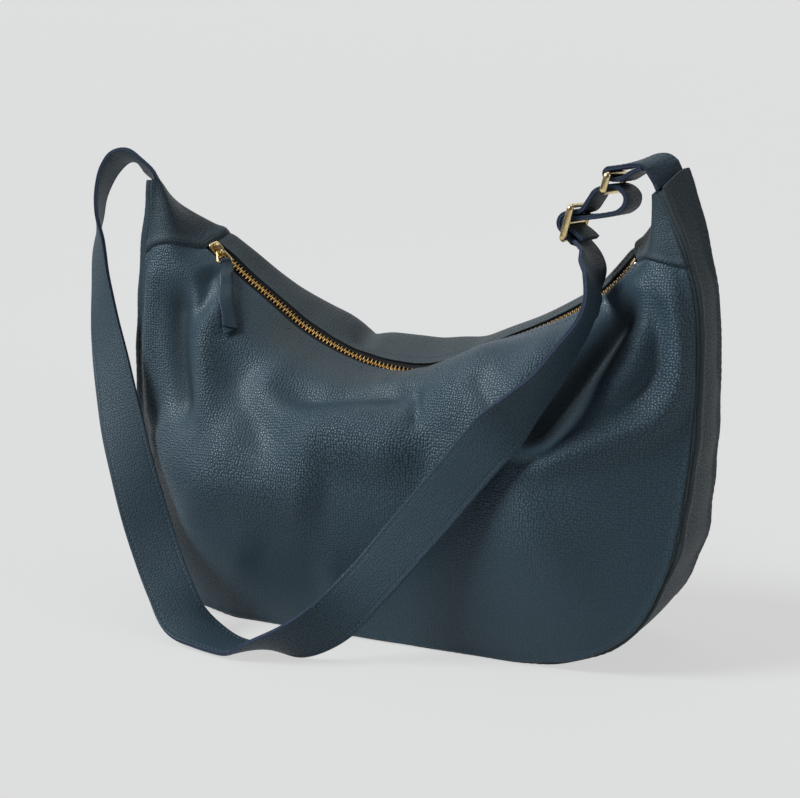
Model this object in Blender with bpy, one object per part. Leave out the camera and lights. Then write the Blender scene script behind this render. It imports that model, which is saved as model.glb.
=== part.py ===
"""Crescent shoulder bag in pebbled leather, with a curved metal zip and a sliding strap.

Two panels, a gusset and two folded horn caps make the shell. A zip on an arc closes the
mouth. A two-ply strap, a slide, a ring and a short strap join the horns.
X runs along the bag, -Y is the front, +Z is up. The origin is on the floor, under the
middle of the base. Sizes are in metres.
"""
import math

import bmesh
import bpy
import numpy as np

# Shell: overall sizes and leather
HALF_WIDTH = 0.207
HORN_HEIGHT = 0.303
BASE_DEPTH = 0.104
LEATHER = 0.0016
CAP_LENGTH = 0.053              # down the side seam from the horn's tip
SIDE_CROWN = 0.004              # how far the gusset swells outwards at mid height
PANEL_BULGE = math.radians(25)  # how far a panel leans out where it meets its seam
SEAT_GAP = 0.0003
SEAM_GAP = 0.00015              # each side of a sewn seam

# Sway of the soft horns, outwards and upwards at the tip
LEFT_SWAY, LEFT_RISE = 0.0050, -0.0045
RIGHT_SWAY, RIGHT_RISE = -0.0186, 0.0065
SWAY_START_SHARE = 0.70
LEFT_TIP_CROSS_SHARES = (-0.40, 0.87, -0.28)
RIGHT_TIP_CROSS_SHARES = (0.19, 0.89, 0.41)

# Half of the seam's outline: share of the half width, share of the horn height
SIDE_SHARES = ((0.966, 1.0), (0.990, 0.80), (1.0, 0.58), (0.985, 0.38), (0.945, 0.21),
               (0.86, 0.095), (0.72, 0.032), (0.58, 0.007), (0.464, 0.0), (0.35, 0.0))
# Gusset width: share of the horn height, share of the way from horn width to base depth
GUSSET_SHARES = ((0.0, 1.0), (0.10, 0.90), (0.26, 0.55), (0.46, 0.25), (0.66, 0.13),
                 (0.83, 0.05), (1.0, 0.0))
CROWN_SHARES = ((0.0, 0.0), (0.10, 0.3), (0.4, 1.0), (0.7, 0.7), (1.0, 0.0))

# Strap
STRAP_WIDTH = 0.032
STRAP_PLY = 0.0013
HORN_EDGE_MARGIN = 0.0042       # horn beyond the strap's edge, each side
HORN_SHOULDER_SHARE = 0.82
STRAP_IN_HORN = 0.006
HORN_RISE = 0.0015              # the strap runs straight this far out of the mouth
HORN_PLAY = 0.0016              # room round the strap in a horn's mouth

# Zip: the chain lies on an arc about an axis parallel to Y, in a band tilted to the front
ZIP_DIP = 0.0775                # from the zip's two ends down to its lowest point
ZIP_END_SHARES = (0.759, 0.863)  # of the half width and of the horn height
BAND_TILT = math.radians(30)
CREST_TURN = math.radians(60)    # how far a panel turns up past its tape, at most
MOUTH_HALF = 0.007              # from the chain's middle to a panel's fold
TAPE_HALF = 0.0135
CORD_EDGE = 0.0012              # from the chain's middle to a tape's cord
TAPE_THICKNESS = 0.0007
TOOTH_PITCH = 0.0031            # of one row
TOOTH_LENGTH = 0.0012
TOOTH_HEIGHT = 0.0024
TOOTH_NOSE = 0.0009             # past the chain's middle
TOOTH_ROOT = 0.0029
STOP_LENGTH = 0.0020
STOP_GRIP = 0.0008              # of a stop over its tape's edge
BOTTOM_STOP_LENGTH = 0.0050
STOP_CLEARANCE = 0.0004

# Slider, its crown, the loop under the crown and the leather tab on the loop
SLIDER_LENGTH = 0.0130
SLIDER_HALF_WIDTH = 0.0046
SLIDER_PLATE = 0.0011
SLIDER_FLANGE = 0.0006
SLIDER_NECK_HALF = 0.0012
SLIDER_NECK_LENGTH = 0.0040
CROWN_WIDTH = 0.0026
CROWN_THICKNESS = 0.0010
CROWN_LENGTH = 0.0096
LOOP_WIRE = 0.0008              # radius
LOOP_LENGTH = 0.0095
LOOP_TOP_HALF = 0.0026
LOOP_END_HALF = 0.0056
LOOP_CORNER = 0.0011
LOOP_RISE = math.radians(9)
LOOP_SWAY = math.radians(15)
LOOP_SEAT_SHARE = 0.16          # of the slider's length, from its middle
TAB_WIDTH = 0.0078
TAB_END_WIDTH = 0.0100
TAB_LEATHER = 0.0012

# Slide with three bars and rectangular ring
BAR_RADIUS = 0.0014
SLIDE_LENGTH = 0.0250
RING_LENGTH = 0.0150
EDGE_CLEARANCE = 0.0010         # between a strap's edge and a side bar
FRAME_CORNER = 0.0022
# Places of both: shares of the half width and of the horn height
SLIDE_PLACE_SHARES = (0.573, 0.926)
RING_PLACE_SHARES = (0.692, 1.0093)
SLIDE_LEAN = math.radians(14)
RING_LEAN = math.radians(15)

# Along the mouth: share of the half width, then shares of the crest's turn in front, of
# the panel's reach in front, and of the crest's turn behind
CREST_SHARES = ((-0.76, 0.0, 1.0, -0.08), (-0.52, 0.0, 1.0, -0.22), (-0.33, 0.04, 1.0, 0.0),
                (-0.14, 0.22, 0.95, 0.08), (0.0, 0.60, 0.80, 0.10), (0.14, 0.95, 0.65, 0.02),
                (0.29, 0.92, 0.65, -0.22), (0.43, 0.45, 0.80, -0.26), (0.58, 0.10, 0.95, -0.18),
                (0.76, 0.0, 1.0, -0.04))

# Strap's free run: shares of half width, base depth and horn height, then its width's way
ARCH_SHARES = (
    (-1.037, 0.0, 1.036, -0.46, 0.83, -0.30), (-1.072, 0.0, 1.053, -0.41, 0.84, -0.34),
    (-1.122, 0.0, 1.053, -0.34, 0.84, -0.42), (-1.180, -0.01, 1.022, -0.24, 0.86, -0.45),
    (-1.200, -0.05, 0.970, -0.22, 0.87, -0.42), (-1.200, -0.10, 0.915, -0.18, 0.92, -0.34),
    (-1.186, -0.15, 0.845, -0.12, 0.96, -0.20), (-1.160, -0.22, 0.755, 0.0, 0.99, -0.10),
    (-1.112, -0.33, 0.662, 0.16, 0.98, -0.05), (-1.032, -0.47, 0.557, 0.46, 0.88, -0.04),
    (-0.922, -0.63, 0.410, 0.70, 0.71, 0.02), (-0.828, -0.74, 0.297, 0.86, 0.50, 0.04),
    (-0.737, -0.84, 0.190, 0.90, 0.44, 0.03), (-0.642, -0.94, 0.103, 0.87, 0.48, 0.08),
    (-0.560, -1.00, 0.047, 0.74, 0.65, 0.14), (-0.473, -1.03, 0.019, 0.38, 0.92, 0.07),
    (-0.396, -1.06, 0.010, 0.14, 0.99, 0.0), (-0.328, -1.08, 0.007, 0.08, 0.99, -0.06),
    (-0.240, -1.10, 0.025, 0.02, 0.92, -0.38), (-0.130, -1.09, 0.048, -0.06, 0.62, -0.78),
    (-0.030, -1.01, 0.090, 0.18, 0.45, -0.87), (0.068, -0.93, 0.165, 0.42, 0.25, -0.87),
    (0.222, -0.85, 0.297, 0.55, 0.25, -0.79), (0.338, -0.82, 0.396, 0.57, 0.35, -0.74),
    (0.454, -0.78, 0.495, 0.58, 0.42, -0.70), (0.541, -0.73, 0.568, 0.42, 0.78, -0.46),
    (0.603, -0.66, 0.622, 0.28, 0.95, -0.15), (0.645, -0.56, 0.681, 0.12, 0.99, -0.09),
    (0.680, -0.48, 0.724, 0.0, 0.99, -0.06), (0.696, -0.44, 0.761, -0.03, 0.99, -0.04),
    (0.690, -0.35, 0.797, -0.02, 0.99, -0.02), (0.671, -0.24, 0.821, 0.0, 1.0, 0.0),
    (0.644, -0.11, 0.846, 0.0, 1.0, 0.0), (0.615, -0.02, 0.868, 0.0, 1.0, 0.0))
# Strap from the slide through the ring and back: shares of the way from slide to ring
UPPER_LEG_SHARES = ((0.36, 0.42), (0.56, 0.74), (0.76, 1.06))
TEARDROP_SHARES = ((1.25, 1.20), (1.50, 1.10), (1.66, 0.88), (1.62, 0.60), (1.42, 0.40),
                   (1.06, 0.29), (0.68, 0.21), (0.34, 0.17))
TAIL_LENGTH = 0.0190
# Short strap from the right horn to the ring: shares of half width and horn height
SHORT_TOP_SHARES = ((0.847, 1.040), (0.832, 1.054), (0.804, 1.0595), (0.768, 1.0535),
                    (0.730, 1.044))
SHORT_UNDER_SHARES = ((0.730, 1.0165), (0.765, 1.0265), (0.795, 1.0350))
# The tab's run on the panel: shares of rows and columns of the front panel, lift
TAB_SHARES = ((0.097, 0.11, 2.0), (0.120, 0.16, 1.4), (0.136, 0.185, 1.1),
              (0.152, 0.21, 1.0), (0.166, 0.23, 1.0), (0.180, 0.25, 1.0))
TAB_LIFT = 0.0006

# Counts
CAP_ROWS, SIDE_ROWS, FLAT_ROWS = 4, 12, 6
FLANK_STEPS = 6
GUSSET_STEPS = 4
TAPE_STEPS = 36

STRAP_THICKNESS = 2 * STRAP_PLY + SEAT_GAP
HORN_HALF = STRAP_WIDTH / 2 + HORN_EDGE_MARGIN
HORN_MOUTH = 2 * LEATHER + STRAP_THICKNESS + HORN_PLAY
TAPE_TOP = -LEATHER - SEAT_GAP
TAPE_BASE = TAPE_TOP - TAPE_THICKNESS
TAPE_EDGE = TOOTH_ROOT + SEAT_GAP
CHAIN_MIDDLE = TAPE_TOP - TAPE_THICKNESS / 2
CHAIN_TOP = CHAIN_MIDDLE + TOOTH_HEIGHT / 2
CHAIN_BASE = CHAIN_MIDDLE - TOOTH_HEIGHT / 2
PLATE_TOP = CHAIN_TOP + SEAT_GAP + SLIDER_PLATE
ZIP_HALF_SPAN = ZIP_END_SHARES[0] * HALF_WIDTH
ARC_RADIUS = (ZIP_HALF_SPAN ** 2 + ZIP_DIP ** 2) / (2 * ZIP_DIP)
ARC_HALF_ANGLE = math.asin(ZIP_HALF_SPAN / ARC_RADIUS)
ARC_AXIS = np.array((0.0, 0.0, ZIP_END_SHARES[1] * HORN_HEIGHT - ZIP_DIP + ARC_RADIUS))
Y_AXIS = np.array((0.0, 1.0, 0.0))

LEATHER_LOOK = ((0.021, 0.038, 0.053, 1.0), 0.5, 0.0)
INNER_LOOK = ((0.030, 0.036, 0.045, 1.0), 0.7, 0.0)
TAPE_LOOK = ((0.008, 0.009, 0.011, 1.0), 0.8, 0.0)
TEETH_LOOK = ((0.60, 0.36, 0.12, 1.0), 0.35, 1.0)
BRASS_LOOK = ((0.75, 0.55, 0.22, 1.0), 0.22, 1.0)


def unit(vector):
    """The vector, or each row of vectors, at length one."""
    return vector / np.linalg.norm(vector, axis=-1, keepdims=True)


def blend(start, end, share):
    """The value a share of the way from start to end."""
    return start + (end - start) * share


def curve_through(points, steps, riders=None):
    """A smooth curve through the points and, on the same steps, through their riders."""
    values = points = np.asarray(points, float)
    if riders is not None:
        values = np.hstack((points, np.asarray(riders, float)))
    spans = np.linalg.norm(np.diff(points, axis=0), axis=1)[:, None]
    slopes = np.diff(values, axis=0) / spans
    inner = (slopes[:-1] * spans[1:] + slopes[1:] * spans[:-1]) / (spans[1:] + spans[:-1])
    ways = np.vstack((slopes[:1], inner, slopes[-1:]))
    rows = []
    for number, span in enumerate(spans):
        for share in np.arange(steps) / steps:
            square, cube = share ** 2, share ** 3
            rows.append((2 * cube - 3 * square + 1) * values[number]
                        + (cube - 2 * square + share) * span * ways[number]
                        + (3 * square - 2 * cube) * values[number + 1]
                        + (cube - square) * span * ways[number + 1])
    curve = np.array(rows + [values[-1]])
    return curve if riders is None else (curve[:, :points.shape[1]], curve[:, points.shape[1]:])


def lengths_along(points):
    """The distance of each point from the first one, along the line."""
    steps = np.linalg.norm(np.diff(points, axis=0), axis=1)
    return np.concatenate(([0.0], np.cumsum(steps)))


def points_at(points, places):
    """Points at the given distances along a line."""
    along = lengths_along(points)
    return np.column_stack([np.interp(places, along, column) for column in points.T])


def table_value(table, share):
    """Value of a table of (place, value) at a place."""
    places, values = zip(*table)
    return np.interp(share, places, values)


def arc_points(centre, radius, start, end, count):
    """Points of an arc in a plane of two coordinates, both ends included."""
    angles = np.linspace(start, end, count)
    return np.column_stack((centre[0] + radius * np.cos(angles),
                            centre[1] + radius * np.sin(angles)))


def look(name, colour, roughness, metallic):
    """A plain material with a colour, a roughness and a metallic value."""
    material = bpy.data.materials.new(name)
    material.use_nodes = True
    shader = material.node_tree.nodes["Principled BSDF"]
    shader.inputs["Base Color"].default_value = colour
    shader.inputs["Roughness"].default_value = roughness
    shader.inputs["Metallic"].default_value = metallic
    material.diffuse_color = colour
    return material


def add_empty(name, place, parent=None):
    """An empty at a place, which carries the pieces of one body."""
    empty = bpy.data.objects.new(name, None)
    bpy.context.collection.objects.link(empty)
    empty.parent = parent
    carried = world_place(parent) if parent else np.zeros(3)
    empty.location = np.asarray(place) - carried
    return empty


def world_place(empty):
    """Where an empty stands, its parents' places added up."""
    place = np.zeros(3)
    while empty:
        place = place + np.array(empty.location)
        empty = empty.parent
    return place


def add_piece(name, vertices, faces, finish, parent, smooth=True):
    """One object from points in the bag's frame, hung on its body's empty."""
    mesh = bpy.data.meshes.new(name)
    local = np.asarray(vertices) - world_place(parent)
    mesh.from_pydata([tuple(point) for point in local], [], faces)
    shape = bmesh.new()
    shape.from_mesh(mesh)
    if shape.calc_volume(signed=True) < 0:
        bmesh.ops.reverse_faces(shape, faces=shape.faces)
    shape.to_mesh(mesh)
    shape.free()
    if smooth:
        mesh.shade_smooth()
        mesh.set_sharp_from_angle(angle=math.radians(40))
    mesh.materials.append(look(name, *finish))
    piece = bpy.data.objects.new(name, mesh)
    piece.parent = parent
    bpy.context.collection.objects.link(piece)
    return piece


def shell_faces(rows, columns):
    """Faces of a closed shell between an outer and an inner grid of one size."""
    def outer(row, column):
        return row * columns + column

    def inner(row, column):
        return rows * columns + row * columns + column

    faces = []
    for row in range(rows - 1):
        for column in range(columns - 1):
            corners = ((row, column), (row, column + 1), (row + 1, column + 1), (row + 1, column))
            faces.append([outer(*corner) for corner in corners])
            faces.append([inner(*corner) for corner in reversed(corners)])
    rim = [(0, column) for column in range(columns)]
    rim += [(row, columns - 1) for row in range(1, rows)]
    rim += [(rows - 1, column) for column in range(columns - 2, -1, -1)]
    rim += [(row, 0) for row in range(rows - 2, 0, -1)]
    for start, end in zip(rim, rim[1:] + rim[:1]):
        faces.append([outer(*end), outer(*start), inner(*start), inner(*end)])
    return faces


def add_shell(name, outer, inner, finish, parent):
    """A closed leather shell between two grids of points."""
    rows, columns = outer.shape[:2]
    vertices = np.concatenate((outer.reshape(-1, 3), inner.reshape(-1, 3)))
    return add_piece(name, vertices, shell_faces(rows, columns), finish, parent)


def sweep_faces(rings, size, closed):
    """Faces of a tube through rings of points, capped unless it closes on itself."""
    faces = []
    for ring in range(rings if closed else rings - 1):
        following = (ring + 1) % rings
        for point in range(size):
            beside = (point + 1) % size
            faces.append([ring * size + point, ring * size + beside,
                          following * size + beside, following * size + point])
    if not closed:
        faces.append(list(reversed(range(size))))
        faces.append([(rings - 1) * size + point for point in range(size)])
    return faces


def add_sweep(name, rings, finish, parent, closed=False, smooth=True):
    """A solid through rings of points."""
    rings = np.asarray(rings)
    faces = sweep_faces(len(rings), rings.shape[1], closed)
    return add_piece(name, rings.reshape(-1, 3), faces, finish, parent, smooth)


def grid_normals(grid):
    """Unit normals of a grid of points, from rows crossed with columns."""
    across = np.gradient(grid, axis=1)
    along = np.gradient(grid, axis=0)
    return unit(np.cross(along, across))


def side_line(side):
    """Half of the gusset's middle line, from the horn's tip to the flat of the base."""
    shares = np.array(SIDE_SHARES)
    line = curve_through(shares * (HALF_WIDTH, HORN_HEIGHT), 24)[:-24]
    length = lengths_along(line)[-1]
    places = np.concatenate((np.linspace(0, CAP_LENGTH, CAP_ROWS, endpoint=False),
                             np.linspace(CAP_LENGTH, length, SIDE_ROWS + 1)))
    line = points_at(line, places)
    sway, rise = (LEFT_SWAY, LEFT_RISE) if side < 0 else (RIGHT_SWAY, RIGHT_RISE)
    reach = np.clip((line[:, 1] / HORN_HEIGHT - SWAY_START_SHARE) / (1 - SWAY_START_SHARE), 0, 1)
    across = side * (line[:, 0] + sway * reach ** 2)
    height = line[:, 1] + rise * reach ** 2
    tip = np.array(LEFT_TIP_CROSS_SHARES if side < 0 else RIGHT_TIP_CROSS_SHARES)
    cross = unit(blend(Y_AXIS, tip, reach[:, None] ** 2))
    return np.column_stack((across, np.zeros_like(across), height)), cross


def gusset_frames():
    """Middle line of the gusset with its width's way, half widths and outward normals."""
    left, left_cross = side_line(-1)
    right, right_cross = side_line(1)
    flat = np.linspace(left[-1], right[-1], FLAT_ROWS + 1)[1:-1]
    middle = np.concatenate((left, flat, right[::-1]))
    cross = np.concatenate((left_cross, np.tile(Y_AXIS, (len(flat), 1)), right_cross[::-1]))
    share = np.clip(middle[:, 2] / HORN_HEIGHT, 0, 1)
    half = blend(HORN_HALF, BASE_DEPTH / 2, table_value(GUSSET_SHARES, share))
    outward = unit(np.cross(cross, np.gradient(middle, axis=0)))
    crown = SIDE_CROWN * table_value(CROWN_SHARES, share)
    return middle, cross, half, outward, crown


def band_axes(angle):
    """Along, across to the front, and up from the zip's band at an angle of its arc."""
    outwards = np.array((math.sin(angle), 0.0, -math.cos(angle)))
    along = np.array((math.cos(angle), 0.0, math.sin(angle)))
    front = math.sin(BAND_TILT) * outwards - math.cos(BAND_TILT) * Y_AXIS
    up = -math.cos(BAND_TILT) * outwards - math.sin(BAND_TILT) * Y_AXIS
    return along, front, up


def band_point(angle, front=0.0, up=0.0):
    """A point of the band: its place on the arc, towards the front, and above it."""
    _, across, normal = band_axes(angle)
    outwards = np.array((math.sin(angle), 0.0, -math.cos(angle)))
    return ARC_AXIS + ARC_RADIUS * outwards + front * across + up * normal


def cap_ridge(side, tip):
    """Ridge of a horn cap from the end of the zip to the tip, with its share of the way."""
    start = band_point(side * ARC_HALF_ANGLE)
    along = side * band_axes(side * ARC_HALF_ANGLE)[0]
    turn = start + along * np.linalg.norm(tip - start) * 0.45
    shares = np.linspace(1, 0, CAP_ROWS + 1)[:-1]
    points = [(1 - s) ** 2 * start + 2 * s * (1 - s) * turn + s ** 2 * tip for s in shares]
    return points, shares


def crests(angle):
    """At an angle of the zip's arc, each panel's way past its tape and its share of reach."""
    place = ARC_RADIUS * math.sin(angle) / HALF_WIDTH
    places, *columns = np.array(CREST_SHARES).T
    front_turn, front_reach, back_turn = (np.interp(place, places, row) for row in columns)
    _, front, up = band_axes(angle)
    ways = []
    for side, turn in ((front, front_turn * CREST_TURN), (-front, back_turn * CREST_TURN)):
        ways.append(math.cos(turn) * side + math.sin(turn) * up)
    return (ways[0], front_reach), (ways[1], 1.0)


def top_frames(frames):
    """For each row: point on the chain or ridge, ways to front and back, crests, cap share."""
    middle, cross, _, outward, _ = frames
    rows = len(middle)
    along = lengths_along(middle)
    first, last = CAP_ROWS, rows - 1 - CAP_ROWS
    result = [None] * rows
    for row in range(first, last + 1):
        share = (along[row] - along[first]) / (along[last] - along[first])
        angle = blend(-ARC_HALF_ANGLE, ARC_HALF_ANGLE, share)
        front = band_axes(angle)[1]
        result[row] = (band_point(angle), front, -front, crests(angle), 0.0)
    for side, tip_row in ((-1, 0), (1, rows - 1)):
        tip = middle[tip_row] - outward[tip_row] * HORN_MOUTH
        front = band_axes(side * ARC_HALF_ANGLE)[1]
        points, shares = cap_ridge(side, tip)
        for step, (point, share) in enumerate(zip(points, shares)):
            ease = share * share * (3 - 2 * share)
            forward = unit(blend(front, -cross[tip_row], ease))
            backward = unit(blend(-front, cross[tip_row], ease))
            flat = ((forward, 1.0), (backward, 1.0))
            result[tip_row - side * step] = (point, forward, backward, flat, share)
    return result


def flank(top, way, crest, shoulder, seam, inward, lean_out, cap_share):
    """One flank of a row: points from the mouth's edge over the shoulder to the seam."""
    start = top + way * shoulder
    reach = np.linalg.norm(seam - start) * blend(0.45, 0.55, cap_share)
    bulge = PANEL_BULGE * (1 - cap_share)
    arrive = seam + (math.cos(bulge) * inward + math.sin(bulge) * lean_out) * reach
    rising, reach_share = crest
    leave = start + rising * reach * reach_share * blend(1.0, 0.65, cap_share)
    points = [top + way * shoulder / 2]
    for share in np.linspace(0, 1, FLANK_STEPS + 1):
        rest = 1 - share
        points.append(rest ** 3 * start + 3 * rest ** 2 * share * leave
                      + 3 * rest * share ** 2 * arrive + share ** 3 * seam)
    return points


def upper_grid(frames):
    """Outer surface over the whole bag: a row for each station, front seam to back seam."""
    middle, cross, half, outward, _ = frames
    grid = []
    for row, (top, forward, backward, crest, share) in enumerate(top_frames(frames)):
        shoulder = blend(2 * MOUTH_HALF, HORN_SHOULDER_SHARE * HORN_HALF, share)
        reach = cross[row] * half[row]
        front = flank(top, forward, crest[0], shoulder, middle[row] - reach, -outward[row],
                      -Y_AXIS, share)
        back = flank(top, backward, crest[1], shoulder, middle[row] + reach, -outward[row],
                     Y_AXIS, share)
        grid.append(front[::-1] + [top] + back)
    return np.array(grid)


def gusset_grid(frames):
    """Outer surface of the gusset, front seam to back seam."""
    middle, cross, half, outward, crown = frames
    places = np.linspace(-1, 1, GUSSET_STEPS + 1)
    columns = [middle + cross * (half * place)[:, None]
               + outward * (crown * (1 - place ** 2))[:, None] for place in places]
    return np.stack(columns, axis=1)


def pulled(line, neighbour, gap):
    """Shift that draws a border line towards its neighbour by a gap."""
    return unit(neighbour - line) * gap


def shell_layers(upper, gusset):
    """Outer and inner grids of upper surface and gusset, mitred where they are sewn."""
    upper_normals, gusset_normals = grid_normals(upper), -grid_normals(gusset)
    upper_inner = upper - upper_normals * LEATHER
    gusset_inner = gusset - gusset_normals * LEATHER
    upper, gusset = upper.copy(), gusset.copy()
    for edge, beside in ((0, 1), (-1, -2)):
        both = upper_normals[:, edge] + gusset_normals[:, edge]
        agree = np.sum(upper_normals[:, edge] * gusset_normals[:, edge], axis=1, keepdims=True)
        mitre = upper[:, edge] - both / (1 + np.maximum(agree, -0.4)) * LEATHER
        upper_shift = pulled(upper[:, edge], upper[:, beside], SEAM_GAP)
        gusset_shift = pulled(gusset[:, edge], gusset[:, beside], SEAM_GAP)
        upper_inner[:, edge] = mitre + upper_shift
        gusset_inner[:, edge] = mitre + gusset_shift
        upper[:, edge] = upper[:, edge] + upper_shift
        gusset[:, edge] = gusset[:, edge] + gusset_shift
    return upper, upper_inner, gusset, gusset_inner


def cut_rows(outer, inner, trim_first, trim_last):
    """Copies of two grids with their first or last row drawn in by the seam's gap."""
    outer, inner = outer.copy(), inner.copy()
    for trim, edge, beside in ((trim_first, 0, 1), (trim_last, -1, -2)):
        if trim:
            shift = pulled(outer[edge], outer[beside], SEAM_GAP)
            outer[edge] = outer[edge] + shift
            inner[edge] = inner[edge] + shift
    return outer, inner


def add_leather_shell(frames, parent):
    """Front and back panels, gusset and horn caps. Gives back the outer surface's grid."""
    upper = upper_grid(frames)
    outer, inner, gusset, gusset_inner = shell_layers(upper, gusset_grid(frames))
    rows = len(outer)
    span = slice(CAP_ROWS, rows - CAP_ROWS)
    fold = FLANK_STEPS + 2
    for name, columns in (("front_panel", slice(0, fold)), ("back_panel", slice(-fold, None))):
        layers = cut_rows(outer[span, columns], inner[span, columns], True, True)
        add_shell(name, *layers, LEATHER_LOOK, parent)
    layers = cut_rows(outer[:CAP_ROWS + 1], inner[:CAP_ROWS + 1], False, True)
    add_shell("horn_cap_left", *layers, LEATHER_LOOK, parent)
    layers = cut_rows(outer[-CAP_ROWS - 1:], inner[-CAP_ROWS - 1:], True, False)
    add_shell("horn_cap_right", *layers, LEATHER_LOOK, parent)
    add_shell("gusset", gusset, gusset_inner, LEATHER_LOOK, parent)
    return upper


def band_ring(angle, profile):
    """A profile of (front, up) places set in the band at an angle."""
    return [band_point(angle, front, up) for front, up in profile]


def add_tapes(parent):
    """The two woven tapes, each a thin strip along the arc."""
    angles = np.linspace(-ARC_HALF_ANGLE, ARC_HALF_ANGLE, TAPE_STEPS + 1)
    for name, side in (("zip_tape_front", 1), ("zip_tape_back", -1)):
        profile = ((side * TAPE_EDGE, TAPE_TOP), (side * TAPE_HALF, TAPE_TOP),
                   (side * TAPE_HALF, TAPE_BASE), (side * TAPE_EDGE, TAPE_BASE))
        add_sweep(name, [band_ring(angle, profile) for angle in angles], TAPE_LOOK, parent)


def block_profile(side, near, far, base, top):
    """A rectangle across the chain, on one side of its middle."""
    return [(side * front, up) for front, up in ((near, base), (far, base), (far, top), (near, top))]


def clamp_profile(side, near):
    """A stop's outline across the chain, with the slot that grips the tape."""
    slot, far = TAPE_EDGE - SEAT_GAP, TAPE_EDGE + STOP_GRIP
    slot_top, slot_base = TAPE_TOP + SEAT_GAP, TAPE_BASE - SEAT_GAP
    outline = ((near, CHAIN_BASE), (far, CHAIN_BASE), (far, slot_base), (slot, slot_base),
               (slot, slot_top), (far, slot_top), (far, CHAIN_TOP), (near, CHAIN_TOP))
    return [(side * front, up) for front, up in outline]


def block_on_chain(profile, start, length):
    """Rings of a block of one profile, from a distance along the chain."""
    return [band_ring(place / ARC_RADIUS, profile) for place in (start, start + length)]


def chain_places():
    """Distances along the chain of stops, slider and teeth, from the arc's low point."""
    end = ARC_RADIUS * ARC_HALF_ANGLE
    stop = -end + STOP_CLEARANCE
    slider = stop + STOP_LENGTH + STOP_CLEARANCE
    teeth = slider + SLIDER_NECK_LENGTH + 2 * STOP_CLEARANCE
    bottom = end - STOP_CLEARANCE - BOTTOM_STOP_LENGTH
    return stop, slider, teeth, bottom


def add_teeth(parent):
    """Two rows of teeth that mesh at the chain's middle, each on its tape's cord."""
    _, _, first, last = chain_places()
    count = int((last - STOP_CLEARANCE - TOOTH_LENGTH - first) / (TOOTH_PITCH / 2)) + 1
    for name, side, offset in (("zip_teeth_front", 1, 0), ("zip_teeth_back", -1, 1)):
        tooth = block_profile(side, -TOOTH_NOSE, TOOTH_ROOT, CHAIN_BASE, CHAIN_TOP)
        cord = block_profile(side, CORD_EDGE, TOOTH_ROOT - SEAT_GAP, TAPE_BASE, TAPE_TOP)
        rings = []
        for number in range(offset, count, 2):
            start = first + number * TOOTH_PITCH / 2
            end = start + TOOTH_LENGTH
            rings += [band_ring(place / ARC_RADIUS, profile) for place, profile in
                      ((start, cord), (start, tooth), (end, tooth), (end, cord))]
        add_sweep(name, rings[1:-1], TEETH_LOOK, parent, smooth=False)


def add_stops(parent):
    """Two top stops, one on each tape, and the bottom stop that joins the tapes."""
    stop, _, _, bottom = chain_places()
    for name, side in (("zip_top_stop_front", 1), ("zip_top_stop_back", -1)):
        profile = clamp_profile(side, SEAT_GAP)
        add_sweep(name, block_on_chain(profile, stop, STOP_LENGTH), BRASS_LOOK, parent)
    right = clamp_profile(1, 0.0)[1:-1]
    left = [(-front, up) for front, up in reversed(right)]
    rings = block_on_chain(right + left, bottom, BOTTOM_STOP_LENGTH)
    add_sweep("zip_bottom_stop", rings, BRASS_LOOK, parent)


def slider_frame():
    """Middle of the slider on the chain with the band's three axes there."""
    angle = (chain_places()[1] + SLIDER_LENGTH / 2) / ARC_RADIUS
    return band_point(angle), band_axes(angle)


def in_frame(frame, places):
    """Places (along, front, up) from a frame as points of the bag."""
    origin, axes = frame
    return [origin + sum(size * axis for size, axis in zip(place, axes)) for place in places]


def channel_rings(frame, outer_up, inner_up, lip_up):
    """Rings of a slider plate with a lip along each side."""
    stations = ((-0.50, 0.82), (-0.43, 0.96), (-0.08, 1.0), (0.23, 0.97), (0.46, 0.92), (0.50, 0.86))
    rings = []
    for along_share, width_share in stations:
        outside = SLIDER_HALF_WIDTH * width_share
        inside = outside - SLIDER_FLANGE
        profile = ((-outside, outer_up), (outside, outer_up), (outside, lip_up), (inside, lip_up),
                   (inside, inner_up), (-inside, inner_up), (-inside, lip_up), (-outside, lip_up))
        along = along_share * SLIDER_LENGTH
        rings.append(in_frame(frame, [(along, front, up) for front, up in profile]))
    return rings


def join_solids(piece, others):
    """Union of a piece with others, which stay behind as hidden wire cutters."""
    for number, other in enumerate(others):
        other.hide_render = True
        other.display_type = "WIRE"
        union = piece.modifiers.new(f"join_{number}", "BOOLEAN")
        union.operation = "UNION"
        union.object = other


def add_slider(frame, parent):
    """Slider body: two lipped plates on a neck that parts the rows."""
    top = channel_rings(frame, PLATE_TOP, CHAIN_TOP + SEAT_GAP, TAPE_TOP + SEAT_GAP)
    low_plate = CHAIN_BASE - SEAT_GAP
    low = channel_rings(frame, low_plate - SLIDER_PLATE, low_plate, TAPE_BASE - SEAT_GAP)
    body = add_sweep("slider_body", top, BRASS_LOOK, parent)
    plate = add_sweep("slider_low_plate_join", low, BRASS_LOOK, parent)
    back = -SLIDER_LENGTH / 2 + SEAT_GAP
    outline = ((back, 0.0), (back + SLIDER_NECK_LENGTH * 0.4, SLIDER_NECK_HALF),
               (back + SLIDER_NECK_LENGTH, 0.0), (back + SLIDER_NECK_LENGTH * 0.4, -SLIDER_NECK_HALF))
    sunk = SLIDER_PLATE / 4
    heights = (low_plate - sunk, CHAIN_TOP + SEAT_GAP + sunk)
    rings = [in_frame(frame, [(along, front, up) for along, front in outline]) for up in heights]
    neck = add_sweep("slider_neck_join", rings, BRASS_LOOK, parent)
    join_solids(body, (plate, neck))


def loop_height():
    """Height of the loop's bar above the band, on the slider's top plate."""
    return PLATE_TOP + SEAT_GAP + LOOP_WIRE


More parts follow.
